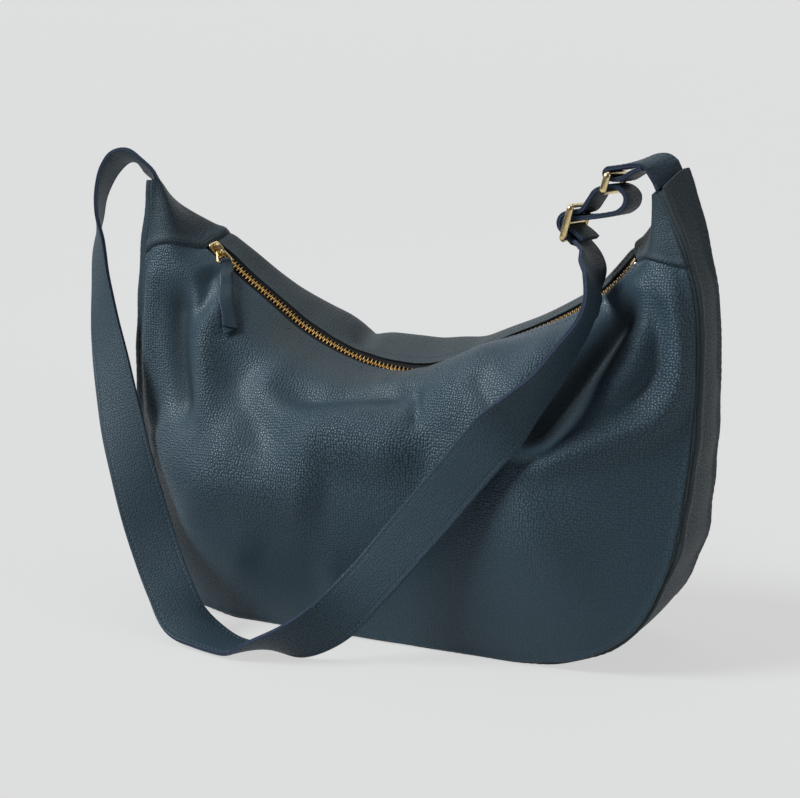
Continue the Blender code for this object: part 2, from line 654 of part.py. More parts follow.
def add_crown(frame, parent):
    """Bridge over the top plate, open across, which holds the loop's bar."""
    foot = PLATE_TOP + SEAT_GAP
    inside = loop_height() + LOOP_WIRE + SEAT_GAP
    outside = inside + CROWN_THICKNESS
    back, front = -CROWN_LENGTH * 0.48, CROWN_LENGTH * 0.52
    slope = (outside - foot) * 0.45
    outline = ((back, foot), (back, foot + slope), (back + slope, outside),
               (front - slope, outside), (front, foot + slope), (front, foot),
               (front - CROWN_THICKNESS, foot), (front - CROWN_THICKNESS, foot + slope * 0.8),
               (front - CROWN_THICKNESS - slope * 0.5, inside),
               (back + CROWN_THICKNESS + slope * 0.5, inside),
               (back + CROWN_THICKNESS, foot + slope * 0.8), (back + CROWN_THICKNESS, foot))
    rings = [in_frame(frame, [(along, side * CROWN_WIDTH / 2, up) for along, up in outline])
             for side in (-1, 1)]
    add_sweep("slider_crown", rings, BRASS_LOOK, parent)


def rounded_path(corners, radius, steps):
    """A closed path in two coordinates with its corners rounded."""
    corners = np.asarray(corners, float)
    path = []
    for before, corner, after in zip(np.roll(corners, 1, 0), corners, np.roll(corners, -1, 0)):
        start = corner + unit(before - corner) * radius
        end = corner + unit(after - corner) * radius
        for share in np.linspace(0, 1, steps + 1):
            rest = 1 - share
            path.append(rest ** 2 * start + 2 * rest * share * corner + share ** 2 * end)
    return np.array(path)


def wire_rings(path, to_world, normal, radius, sides):
    """Rings of a round wire along a closed flat path."""
    points = np.array([to_world(*point) for point in path])
    tangents = unit(np.roll(points, -1, 0) - np.roll(points, 1, 0))
    turns = np.linspace(0, 2 * math.pi, sides, endpoint=False)
    rings = []
    for point, tangent in zip(points, tangents):
        outward = np.cross(tangent, normal)
        rings.append([point + radius * (math.cos(turn) * outward + math.sin(turn) * normal)
                      for turn in turns])
    return rings


def loop_frame(frame):
    """Middle of the loop's upper bar, with the loop's length, width and normal."""
    origin, (along, front, up) = frame
    place = in_frame(frame, [(LOOP_SEAT_SHARE * SLIDER_LENGTH, 0.0, loop_height())])[0]
    aside = math.cos(LOOP_SWAY) * along + math.sin(LOOP_SWAY) * front
    length = math.cos(LOOP_RISE) * aside + math.sin(LOOP_RISE) * up
    width = math.cos(LOOP_SWAY) * front - math.sin(LOOP_SWAY) * along
    return place, (length, width, np.cross(width, length))


def add_loop(frame, parent):
    """The metal loop under the crown, wider at its free end."""
    place, (length, width, normal) = loop_frame(frame)
    corners = ((0, -LOOP_TOP_HALF), (0, LOOP_TOP_HALF),
               (LOOP_LENGTH, LOOP_END_HALF), (LOOP_LENGTH, -LOOP_END_HALF))
    path = rounded_path(corners, LOOP_CORNER, 2)
    rings = wire_rings(path, lambda down, across: place + down * length + across * width,
                       normal, LOOP_WIRE, 6)
    add_sweep("puller_loop", rings, BRASS_LOOK, parent, closed=True)


def on_panel(grid, row_share, column_share, lift):
    """A point over the front panel and the way its columns run there."""
    rows, columns = len(grid), FLANK_STEPS + 1
    row = row_share * (rows - 1)
    column = columns - column_share * columns
    low_row, low_column = int(row), int(column)
    row_rest, column_rest = row - low_row, column - low_column
    corner = grid[low_row:low_row + 2, low_column:low_column + 2]
    near, far = blend(corner[0], corner[1], row_rest)
    along = blend(corner[1, 0], corner[1, 1], column_rest) - blend(corner[0, 0], corner[0, 1],
                                                                  column_rest)
    normal = unit(np.cross(along, far - near))
    return blend(near, far, column_rest) + normal * lift, normal


def line_ways(points):
    """The way a line runs at each of its points."""
    steps = unit(np.diff(points, axis=0))
    return unit(np.vstack((steps[:1], steps[:-1] + steps[1:], steps[-1:])))


def add_ribbon(name, points, widths, half_widths, levels, finish, parent):
    """A flat strip along a line: its half widths, and its two levels along its normal."""
    along = line_ways(points)
    widths = unit(widths - along * np.sum(widths * along, axis=1, keepdims=True))
    normals = np.cross(along, widths)
    low, high = levels
    corners = ((-1, low), (1, low), (1, high), (-1, high))
    rings = [points + widths * side * half_widths + normals * level for side, level in corners]
    faces = []
    for face in sweep_faces(len(points), len(corners), closed=False):
        near, beside, far_beside, far = face
        first = near % len(corners)
        if first == 0:
            faces += [[near, beside, far_beside], [near, far_beside, far]]
        elif first == 2:
            faces += [[near, beside, far], [beside, far_beside, far]]
        else:
            faces.append(face)
    vertices = np.stack(rings, axis=1).reshape(-1, 3)
    return add_piece(name, vertices, faces, finish, parent)


def add_tab(frame, upper, parent):
    """The leather tab: one strip folded round the loop's end bar, both layers hanging."""
    place, (length, width, normal) = loop_frame(frame)
    bar = place + length * LOOP_LENGTH
    panel = upper[CAP_ROWS:-CAP_ROWS]
    lift = TAB_LEATHER + SEAT_GAP / 2 + TAB_LIFT
    hang = [on_panel(panel, row, column, lift * rise) for row, column, rise in TAB_SHARES]
    turn_radius = LOOP_WIRE + SEAT_GAP + TAB_LEATHER / 2
    stations = [bar + length * turn_radius * reach for reach in (1.5, 3.0)]
    points, facing = curve_through(stations + [point for point, _ in hang], 3,
                                   [normal] * 2 + [facing for _, facing in hang])
    widths = unit(np.cross(facing, line_ways(points)))
    facing = unit(np.cross(line_ways(points), widths))
    apart = (TAB_LEATHER + SEAT_GAP) / 2
    turns = np.radians(np.linspace(-60, -300, 7))
    fold = [bar + turn_radius * (math.cos(turn) * length + math.sin(turn) * normal)
            for turn in turns]
    middle = np.concatenate(((points - facing * apart)[::-1], fold, points + facing * apart))
    across = np.concatenate((widths[::-1], [-width] * len(fold), widths))
    shares = lengths_along(points) / lengths_along(points)[-1]
    half = blend(TAB_WIDTH, TAB_END_WIDTH, shares)[:, None] / 2
    halves = np.concatenate((half[::-1], np.full((len(fold), 1), TAB_WIDTH / 2), half))
    levels = (-TAB_LEATHER / 2, TAB_LEATHER / 2)
    add_ribbon("pull_tab", middle, across, halves, levels, LEATHER_LOOK, parent)


def hardware_point(place):
    """A flat place (x, z) as a point in the middle plane of the bag."""
    return np.array((place[0], 0.0, place[1]))


def slide_centre():
    """Middle of the slide's centre bar, as (x, z)."""
    return np.array(SLIDE_PLACE_SHARES) * (HALF_WIDTH, HORN_HEIGHT)


def ring_bars():
    """Middles of the ring's upper and lower bar, as (x, z)."""
    centre = np.array(RING_PLACE_SHARES) * (HALF_WIDTH, HORN_HEIGHT)
    up = np.array((math.sin(RING_LEAN), math.cos(RING_LEAN)))
    reach = RING_LENGTH / 2 - BAR_RADIUS
    return centre + up * reach, centre - up * reach


def wrap_radius(layer):
    """Radius of a strap's middle round a bar: the first layer is 0, one over it is 1."""
    return BAR_RADIUS + SEAT_GAP + STRAP_THICKNESS / 2 + layer * (STRAP_THICKNESS + SEAT_GAP)


def with_width(places):
    """Flat places as strap stations whose width runs along Y."""
    return [(hardware_point(place), Y_AXIS) for place in places]


def free_run():
    """Stations of the strap from its arch to the slide, lifted clear of the floor."""
    stations = []
    scale = np.array((HALF_WIDTH, BASE_DEPTH, HORN_HEIGHT))
    for row in ARCH_SHARES:
        point, width = np.array(row[:3]) * scale, unit(np.array(row[3:]))
        floor = abs(width[2]) * STRAP_WIDTH / 2 + STRAP_THICKNESS / 2 + 2 * SEAT_GAP
        point[2] = max(point[2], floor)
        stations.append((point, width))
    return stations


def hardware_run():
    """Stations of the strap through slide, ring and back, to its sewn tail."""
    centre = slide_centre()
    _, low_bar = ring_bars()
    way = low_bar - centre
    over_bar = low_bar + np.array((0.0, wrap_radius(0)))
    wrap = arc_points(centre, wrap_radius(1), math.radians(-128), math.radians(-262), 6)
    upper = [centre + np.array(share) * way for share in UPPER_LEG_SHARES]
    drop = [centre + np.array(share) * way for share in TEARDROP_SHARES]
    sewn = arc_points(centre, wrap_radius(0), math.radians(86), math.radians(250), 7)
    tail_way = np.array((-math.sin(math.radians(250)), math.cos(math.radians(250))))
    tail = [sewn[-1] + tail_way * TAIL_LENGTH * share for share in (0.35, 0.7, 1.0)]
    return with_width([*wrap, *upper, over_bar, *drop, *sewn, *tail])


def horn_entry(frames, row):
    """The strap's two stations inside a horn and one just above it."""
    middle, cross, _, outward, _ = frames
    beside = row + 1 if row == 0 else row - 1
    down = unit(middle[beside] - middle[row])
    share = STRAP_IN_HORN / np.linalg.norm(middle[beside] - middle[row])
    inwards = unit(blend(outward[row], outward[beside], share)) * HORN_MOUTH / 2
    inside = blend(middle[row], middle[beside], share) - inwards
    mouth = middle[row] - outward[row] * HORN_MOUTH / 2 - down * HORN_RISE
    return [(inside, unit(blend(cross[row], cross[beside], share))), (mouth, cross[row])]


def short_run(frames):
    """Stations of the short strap: out of the right horn, round the ring and back."""
    scale = (HALF_WIDTH, HORN_HEIGHT)
    entry = horn_entry(frames, -1)
    turns = np.linspace(0, 1, len(SHORT_TOP_SHARES))
    top = [(hardware_point(np.array(place) * scale), unit(blend(entry[-1][1], Y_AXIS, turn)))
           for place, turn in zip(SHORT_TOP_SHARES, turns)]
    fold = arc_points(ring_bars()[0], wrap_radius(0), math.radians(80), math.radians(262), 7)
    under = [np.array(place) * scale for place in SHORT_UNDER_SHARES]
    return entry + top + with_width([*fold, *under])


def add_plies(prefix, stations, steps, parent):
    """Outer and inner ply of a strap through its stations."""
    points, widths = curve_through([point for point, _ in stations], steps,
                                   [width for _, width in stations])
    gap = SEAT_GAP / 2
    for name, levels, finish in (("outer_ply", (gap, gap + STRAP_PLY), LEATHER_LOOK),
                                 ("inner_ply", (-gap - STRAP_PLY, -gap), INNER_LOOK)):
        add_ribbon(f"{prefix}_{name}", points, widths, STRAP_WIDTH / 2, levels, finish, parent)


def add_straps(frames, parent):
    """The long strap and the short strap, each of two plies sewn together."""
    add_plies("strap", horn_entry(frames, 0) + free_run() + hardware_run(), 2, parent)
    add_plies("short_strap", short_run(frames), 2, parent)


def frame_rings(centre, lean, length):
    """Rings of a rectangular wire frame whose long sides run along Y."""
    up = np.array((math.sin(lean), 0.0, math.cos(lean)))
    middle = hardware_point(centre)
    tall = length / 2 - BAR_RADIUS
    wide = STRAP_WIDTH / 2 + EDGE_CLEARANCE + BAR_RADIUS
    corners = ((-tall, -wide), (-tall, wide), (tall, wide), (tall, -wide))
    path = rounded_path(corners, FRAME_CORNER, 3)
    return wire_rings(path, lambda high, across: middle + high * up + across * Y_AXIS,
                      np.cross(up, Y_AXIS), BAR_RADIUS, 8)


def add_hardware(ring_parent, slide_parent):
    """The rectangular ring, and the slide with its centre bar."""
    high_bar, low_bar = ring_bars()
    rings = frame_rings((high_bar + low_bar) / 2, RING_LEAN, RING_LENGTH)
    add_sweep("strap_ring", rings, BRASS_LOOK, ring_parent, closed=True)
    centre = slide_centre()
    slide = add_sweep("strap_slide", frame_rings(centre, SLIDE_LEAN, SLIDE_LENGTH), BRASS_LOOK,
                      slide_parent, closed=True)
    reach = STRAP_WIDTH / 2 + EDGE_CLEARANCE + BAR_RADIUS
    turns = np.linspace(0, 2 * math.pi, 8, endpoint=False)
    ends = [[hardware_point(centre + BAR_RADIUS * 0.9 * np.array((math.cos(turn), math.sin(turn))))
             + Y_AXIS * side * reach for turn in turns] for side in (-1, 1)]
    bar = add_sweep("strap_slide_bar_join", ends, BRASS_LOOK, slide_parent)
    join_solids(slide, [bar])


def build():
    """All pieces of the bag, each under the empty of its body."""
    for old in list(bpy.data.objects):
        bpy.data.objects.remove(old)
    frames = gusset_frames()
    slider = slider_frame()
    bag = add_empty("bag_body", (0.0, 0.0, 0.0))
    slider_axis = add_empty("slider_axis", ARC_AXIS, bag)
    loop_place = loop_frame(slider)[0]
    puller_axis = add_empty("puller_axis", loop_place, slider_axis)
    loop_end = loop_place + loop_frame(slider)[1][0] * LOOP_LENGTH
    tab_axis = add_empty("tab_axis", loop_end, puller_axis)
    horns = (frames[0][0] + frames[0][-1]) / 2
    strap_axis = add_empty("strap_axis", horns, bag)
    ring_axis = add_empty("ring_axis", hardware_point(ring_bars()[0]), strap_axis)
    slide_axis = add_empty("slide_axis", hardware_point(slide_centre()), strap_axis)
    upper = add_leather_shell(frames, bag)
    add_tapes(bag)
    add_teeth(bag)
    add_stops(bag)
    add_slider(slider, slider_axis)
    add_crown(slider, slider_axis)
    add_loop(slider, puller_axis)
    add_tab(slider, upper, tab_axis)
    add_straps(frames, strap_axis)
    add_hardware(ring_axis, slide_axis)


build()
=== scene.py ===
"""Crescent shoulder bag in pebbled leather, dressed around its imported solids.

The bag's own frame is used throughout: X runs along the bag towards the strap's slide, -Y is
the front, +Z is up, and the origin is on the floor under the middle of the base. Sizes are in
metres unless a name says otherwise.
"""
from __future__ import annotations

import logging
import math
from dataclasses import dataclass, field
from enum import Enum
from typing import Any, Sequence

import bmesh
import bpy
import numpy as np
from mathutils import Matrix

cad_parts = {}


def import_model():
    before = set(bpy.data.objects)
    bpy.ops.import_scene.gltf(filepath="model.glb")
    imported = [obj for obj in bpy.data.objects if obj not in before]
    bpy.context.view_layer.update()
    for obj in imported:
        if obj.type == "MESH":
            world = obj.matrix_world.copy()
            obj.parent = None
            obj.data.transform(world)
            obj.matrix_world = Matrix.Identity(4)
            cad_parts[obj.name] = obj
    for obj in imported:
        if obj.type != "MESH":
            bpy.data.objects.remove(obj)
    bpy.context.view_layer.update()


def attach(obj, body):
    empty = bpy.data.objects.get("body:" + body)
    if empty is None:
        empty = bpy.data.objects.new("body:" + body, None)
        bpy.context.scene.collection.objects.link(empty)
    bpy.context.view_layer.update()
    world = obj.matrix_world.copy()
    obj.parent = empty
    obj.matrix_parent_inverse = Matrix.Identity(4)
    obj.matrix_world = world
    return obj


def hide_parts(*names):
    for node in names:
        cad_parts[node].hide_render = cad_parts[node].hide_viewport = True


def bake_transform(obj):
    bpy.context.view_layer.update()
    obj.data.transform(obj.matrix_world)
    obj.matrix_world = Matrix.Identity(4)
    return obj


LOG = logging.getLogger("shoulder_bag")
MM = 0.001
Y_AXIS = np.array((0.0, 1.0, 0.0))
Array = np.ndarray
Colour = tuple[float, float, float]
Material = bpy.types.Material
Piece = bpy.types.Object


class Body(Enum):
    """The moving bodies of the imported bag."""

    BAG = "bag"
    SLIDER = "slider"
    PULLER = "puller"
    TAB = "tab"
    STRAP = "strap"
    RING = "ring"
    SLIDE = "slide"


class Slot(Enum):
    """The record's material slots, named beside the pieces but not set on them."""

    LEATHER = "leather"
    TAPE = "tape"
    TEETH = "teeth"
    BRASS = "brass"


class Side(Enum):
    """The two long sides of the bag, as a factor on the way to the front."""

    FRONT = 1
    BACK = -1


# Lines and surfaces.


def unit(vector: Array) -> Array:
    """The vector, or each row of vectors, at length one."""
    return vector / np.maximum(np.linalg.norm(vector, axis=-1, keepdims=True), 1e-12)


def between(start: Any, end: Any, share: Any) -> Any:
    """The value a share of the way from start to end."""
    return start + (end - start) * share


def ease(share: Any) -> Any:
    """A share from 0 to 1 that starts and ends gently."""
    share = np.clip(share, 0.0, 1.0)
    return share * share * (3.0 - 2.0 * share)


def hill(distance: Any, half_width: float) -> Any:
    """A round hill of height one, by distance from its middle."""
    return np.exp(-((distance / half_width) ** 2))


def curve_through(points: Any, steps: int, riders: Any = None) -> Any:
    """A smooth curve through points.

    Args:
        points: The places that the curve passes.
        steps: How many steps each span is cut into.
        riders: Values that change along with the points, such as a strap's width.

    Returns:
        The curve's points, and with riders also their values on the same steps.
    """
    values = points = np.asarray(points, float)
    if riders is not None:
        values = np.hstack((points, np.asarray(riders, float)))
    spans = np.linalg.norm(np.diff(points, axis=0), axis=1)[:, None]
    slopes = np.diff(values, axis=0) / spans
    inner = (slopes[:-1] * spans[1:] + slopes[1:] * spans[:-1]) / (spans[1:] + spans[:-1])
    ways = np.vstack((slopes[:1], inner, slopes[-1:]))
    rows = []
    for number, span in enumerate(spans):
        for share in np.arange(steps) / steps:
            square, cube = share**2, share**3
            rows.append((2 * cube - 3 * square + 1) * values[number]
                        + (cube - 2 * square + share) * span * ways[number]
                        + (3 * square - 2 * cube) * values[number + 1]
                        + (cube - square) * span * ways[number + 1])
    curve = np.array(rows + [values[-1]])
    if riders is None:
        return curve
    return curve[:, : points.shape[1]], curve[:, points.shape[1]:]


def lengths_along(points: Array) -> Array:
    """The distance of each point from the first one, along the line."""
    steps = np.linalg.norm(np.diff(points, axis=0), axis=1)
    return np.concatenate(([0.0], np.cumsum(steps)))


def points_at(points: Array, places: Array) -> Array:
    """Points at the given distances along a line."""
    along = lengths_along(points)
    return np.column_stack([np.interp(places, along, column) for column in points.T])


def table_value(table: Sequence[tuple[float, float]], share: Any) -> Any:
    """Value of a table of (place, value) at a place, in straight steps."""
    places, values = zip(*table)
    return np.interp(share, places, values)


def soft_table(table: Sequence[tuple[float, float]], place: Any) -> Any:
    """Value of a table of (place, value) at a place, eased between its rows."""
    places, values = (np.array(column, float) for column in zip(*table))
    place = np.clip(place, places[0], places[-1])
    number = np.clip(np.searchsorted(places, place, side="right") - 1, 0, len(places) - 2)
    share = (place - places[number]) / (places[number + 1] - places[number])
    return between(values[number], values[number + 1], ease(share))


def graded(length: float, fine: float, coarse: float, both: bool = True) -> Array:
    """Places along a length, close together at its ends.

    Args:
        length: The whole length.
        fine: The first step at an end.
        coarse: The longest step.
        both: Whether the far end is fine as well.

    Returns:
        The places, from 0 to the length.
    """
    steps = [fine]
    while steps[-1] < coarse:
        steps.append(min(steps[-1] * 1.3, coarse))
    ends = 2 if both else 1
    middle = max(int(round((length - ends * sum(steps)) / coarse)), 1)
    whole = np.array(steps + [coarse] * middle + (steps[::-1] if both else []))
    return np.concatenate(([0.0], np.cumsum(whole) * length / whole.sum()))


def ways_along(points: Array) -> Array:
    """The way a line runs at each of its points."""
    steps = unit(np.diff(points, axis=0))
    return unit(np.vstack((steps[:1], steps[:-1] + steps[1:], steps[-1:])))


def grid_normals(grid: Array) -> Array:
    """Unit normals of a grid of points, from its rows crossed with its columns."""
    return unit(np.cross(np.gradient(grid, axis=0), np.gradient(grid, axis=1)))


def line_distance(points: Array, line: Array) -> tuple[Array, Array]:
    """Distance of flat points from a line, and the share of the line's length beside them."""
    lengths = lengths_along(line)
    best = np.full(points.shape[:-1], np.inf)
    share = np.zeros(points.shape[:-1])
    for start, end, begin in zip(line[:-1], line[1:], lengths[:-1]):
        way = end - start
        reach = np.clip((points - start) @ way / (way @ way), 0.0, 1.0)
        gap = np.linalg.norm(points - (start + reach[..., None] * way), axis=-1)
        nearer = gap < best
        best = np.where(nearer, gap, best)
        share = np.where(nearer, (begin + reach * np.linalg.norm(way)) / lengths[-1], share)
    return best, share


def ripple(places: Array, wave: float, seed: int) -> Array:
    """An uneven wave along a line, about one high, the same on each run."""
    chance = np.random.default_rng(seed)
    total = np.zeros_like(places, float)
    for number in range(5):
        length = wave * chance.uniform(0.6, 1.9)
        total += chance.uniform(0.5, 1.0) * np.sin(
            2 * math.pi * places / length + chance.uniform(0, 2 * math.pi)) / (1 + number * 0.3)
    return total / 2.0


@dataclass(frozen=True)
class Fold:
    """A soft ridge or valley in the leather, along a line seen from the front.

    Args:
        line_mm: Places (x, z) that the fold passes.
        rise_mm: How far it stands out, or below zero how deep it is.
        half_width_mm: From its middle to where little of it is left.
        taper: Share of its length over which each end fades.
    """

    line_mm: tuple[tuple[float, float], ...]
    rise_mm: float
    half_width_mm: float
    taper: float = 0.3

    def lift(self, places: Array) -> Array:
        """How far the fold moves each place (x, z) outwards."""
        line = curve_through(np.array(self.line_mm) * MM, 6)
        gap, share = line_distance(places, line)
        fade = ease(share / self.taper) * ease((1 - share) / self.taper)
        return self.rise_mm * MM * fade * hill(gap, self.half_width_mm * MM)


def mirrored(half: Sequence[tuple[float, float]]) -> list[tuple[float, float]]:
    """Places (across, up) and then their mirror images in reverse, the middle one once."""
    return [*half, *((-out, up) for out, up in half[::-1] if out)]


def laid(middle: Array, across: Array, up: Array, section: Any) -> list[Array]:
    """A section's places (across, up), laid on two ways from its middle."""
    return [middle + across * out + up * high for out, high in section]


# Meshes.


def put(name: str, data: Any) -> Piece:
    """A new object with this mesh, light or camera, linked to the scene."""
    item = bpy.data.objects.new(name, data)
    bpy.context.scene.collection.objects.link(item)
    return item


def make_piece(name: str, vertices: Array, faces: Sequence[Sequence[int]],
               materials: Sequence[Material], rows: Sequence[int] | None = None,
               sharp: float | None = 50.0) -> Piece:
    """One mesh object with its faces turned outwards.

    Args:
        name: The piece's name.
        vertices: Its points.
        faces: Its faces, as numbers of points.
        materials: Its finishes.
        rows: For each face the number of its finish, where there are several.
        sharp: Edges steeper than this angle in degrees stay sharp, none if it is None.

    Returns:
        The object, linked to the scene.
    """
    mesh = bpy.data.meshes.new(name)
    mesh.from_pydata(np.asarray(vertices, float).reshape(-1, 3).tolist(), [],
                     [list(map(int, face)) for face in faces])
    if rows is not None:
        mesh.polygons.foreach_set("material_index", np.asarray(rows, np.int32))
    shape = bmesh.new()
    shape.from_mesh(mesh)
    if shape.calc_volume(signed=True) < 0:
        bmesh.ops.reverse_faces(shape, faces=shape.faces)
    shape.to_mesh(mesh)
    shape.free()
    mesh.shade_smooth()
    if sharp is not None:
        mesh.set_sharp_from_angle(angle=math.radians(sharp))
    for material in materials:
        mesh.materials.append(material)
    return put(name, mesh)


def hand_over(piece: Piece, slot: Slot, body: Body, *nodes: str) -> None:
    """Hides the nodes that a piece stands for and attaches the piece to the body that it rides on.
    """
    if nodes:
        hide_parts(*nodes)
    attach(piece, body.value)
    LOG.info("made %s", piece.name)


def note_values(piece: Piece, name: str, values: Array) -> None:
    """Keeps one number for each point of a mesh, for its material to read."""
    attribute = piece.data.attributes.new(name, "FLOAT", "POINT")
    attribute.data.foreach_set("value", np.asarray(values, np.float32).ravel())


def note_skin(piece: Piece, places: Array) -> None:
    """Keeps each point's flat place on the leather in metres, on which its grain is laid."""
    flat = places.reshape(-1, 2)
    attribute = piece.data.attributes.new("skin", "FLOAT_VECTOR", "POINT")
    attribute.data.foreach_set(
        "vector", np.column_stack((flat, np.zeros(len(flat)))).astype(np.float32).ravel())


def flat_skin(grid: Array) -> Array:
    """Flat places for a grid of points, true to its lengths along X and square to it."""
    normals = grid_normals(grid)
    level = np.array((1.0, 0.0, 0.0)) - normals * normals[..., :1]
    level = unit(level)
    steep = np.cross(normals, level)
    middle = grid.shape[1] // 2
    places = []
    for ways in (level, steep):
        down = np.sum((grid[1:, middle] - grid[:-1, middle])
                      * (ways[1:, middle] + ways[:-1, middle]) / 2, axis=-1)
        start = np.concatenate(([0.0], np.cumsum(down)))
        steps = np.sum((grid[:, 1:] - grid[:, :-1]) * (ways[:, 1:] + ways[:, :-1]) / 2, axis=-1)
        along = np.hstack((np.zeros((len(grid), 1)), np.cumsum(steps, axis=1)))
        places.append(start[:, None] + along - along[:, middle:middle + 1])
    return np.stack(places, axis=-1)


def ring_faces(rings: int, size: int, closed: bool, first: int = 0) -> list[list[int]]:
    """Faces between rings of points, without the two ends."""
    faces = []
    for ring in range(rings if closed else rings - 1):
        following = (ring + 1) % rings
        for point in range(size):
            beside = (point + 1) % size
            faces.append([first + ring * size + point, first + ring * size + beside,
                          first + following * size + beside, first + following * size + point])
    return faces


def tube_faces(rings: int, size: int, closed: bool, first: int = 0) -> list[list[int]]:
    """Faces of a closed tube through rings of points."""
    faces = ring_faces(rings, size, closed, first)
    if not closed:
        faces.append([first + point for point in reversed(range(size))])
        faces.append([first + (rings - 1) * size + point for point in range(size)])
    return faces


class Collector:
    """Gathers many small tubes into the points and faces of one mesh."""

    def __init__(self) -> None:
        """Starts with nothing gathered."""
        self.points: list[Array] = []
        self.faces: list[list[int]] = []
        self.count = 0

    def add_tube(self, rings: Any, closed: bool = False) -> "Collector":
        """Adds a tube through rings of points, and gives the collector back."""
        rings = np.asarray(rings, float)
        self.faces += tube_faces(len(rings), rings.shape[1], closed, self.count)
        self.points.append(rings.reshape(-1, 3))
        self.count += len(self.points[-1])
        return self

    def piece(self, name: str, material: Material,
              sharp: float | None = 50.0) -> Piece:
        """The gathered tubes as one object."""
        return make_piece(name, np.concatenate(self.points), self.faces, [material], sharp=sharp)


def both_faces(values: Array, rim: int = 0) -> Array:
    """Values of a shell's good side as those of all its points, with columns for its rim."""
    edge = np.repeat(values[:, -1:], rim, axis=1)
    return np.concatenate((values, edge, values[:, ::-1]), axis=1)


def shell_piece(name: str, outer: Array, inner: Array, lip: Array | None,
                materials: Sequence[Material]) -> Piece:
    """A closed leather shell between an outer and an inner grid.

    Args:
        name: The piece's name.
        outer: Grid of points on the good side, rows by columns.
        inner: The same grid on the flesh side.
        lip: Columns of points that round the edge after the last column, or None.
        materials: Its finishes.

    Returns:
        The object.
    """
    rows, columns = outer.shape[:2]
    strips = [outer] + ([lip] if lip is not None else []) + [inner[:, ::-1]]
    rings = np.concatenate(strips, axis=1)
    size = rings.shape[1]
    faces = ring_faces(rows, size, closed=False)
    for row, turned in ((0, False), (rows - 1, True)):
        ends = []
        for column in range(columns - 1):
            ends.append([column, column + 1, size - 2 - column, size - 1 - column])
        ends.append(list(range(columns - 1, size - columns + 1)))
        for end in ends:
            if len(end) > 2:
                end = [row * size + point for point in end]
                faces.append(end[::-1] if turned else end)
    return make_piece(name, rings, faces, materials, sharp=None)


def rounded_path(corners: Any, radius: float, steps: int) -> Array:
    """A closed path in two coordinates with its corners rounded."""
    corners = np.asarray(corners, float)
    path = []
    for before, corner, after in zip(np.roll(corners, 1, 0), corners, np.roll(corners, -1, 0)):
        start = corner + unit(before - corner) * radius
        end = corner + unit(after - corner) * radius
        for share in np.linspace(0, 1, steps + 1):
            rest = 1 - share
            path.append(rest**2 * start + 2 * rest * share * corner + share**2 * end)
    return np.array(path)


def wire_rings(points: Array, normal: Array, radius: float, sides: int,
               tall: Any = 1.0) -> Array:
    """Rings of a wire along a closed flat path.

    Args:
        points: The path's points.
        normal: The way square to the path's plane.
        radius: The wire's radius in the plane.
        sides: Points of a ring.
        tall: The wire's height square to the plane as a share of its width, for all or each.

    Returns:
        The rings' points.
    """
    tangents = unit(np.roll(points, -1, 0) - np.roll(points, 1, 0))
    turns = np.linspace(0, 2 * math.pi, sides, endpoint=False)
    outward = unit(np.cross(tangents, normal))
    tall = np.broadcast_to(np.asarray(tall, float), (len(points),))[:, None, None]
    return (points[:, None] + radius * (np.cos(turns)[None, :, None] * outward[:, None]
                                        + tall * np.sin(turns)[None, :, None] * normal))


# Shaders.


class Signal:
    """A socket of a material, on which Python's operators add Math nodes."""

    def __init__(self, sheet: "ShaderSheet", socket: bpy.types.NodeSocket) -> None:
        """Keeps the socket and the material that it belongs to."""
        self.sheet = sheet
        self.socket = socket

    def __add__(self, other: Any) -> "Signal":
        """The sum."""
        return self.sheet.math("ADD", self, other)

    __radd__ = __add__

    def __sub__(self, other: Any) -> "Signal":
        """The difference."""
        return self.sheet.math("SUBTRACT", self, other)

    def __rsub__(self, other: Any) -> "Signal":
        """The difference from a number."""
        return self.sheet.math("SUBTRACT", other, self)

    def __mul__(self, other: Any) -> "Signal":
        """The product."""
        return self.sheet.math("MULTIPLY", self, other)

    __rmul__ = __mul__

    def __pow__(self, other: Any) -> "Signal":
        """The power."""
        return self.sheet.math("POWER", self, other)

    def within(self, low: float, high: float) -> "Signal":
        """0 below low, 1 above high, and eased between."""
        return self.sheet.add("ShaderNodeMapRange", {"interpolation_type": "SMOOTHSTEP"},
                              {"Value": self, "From Min": low, "From Max": high})


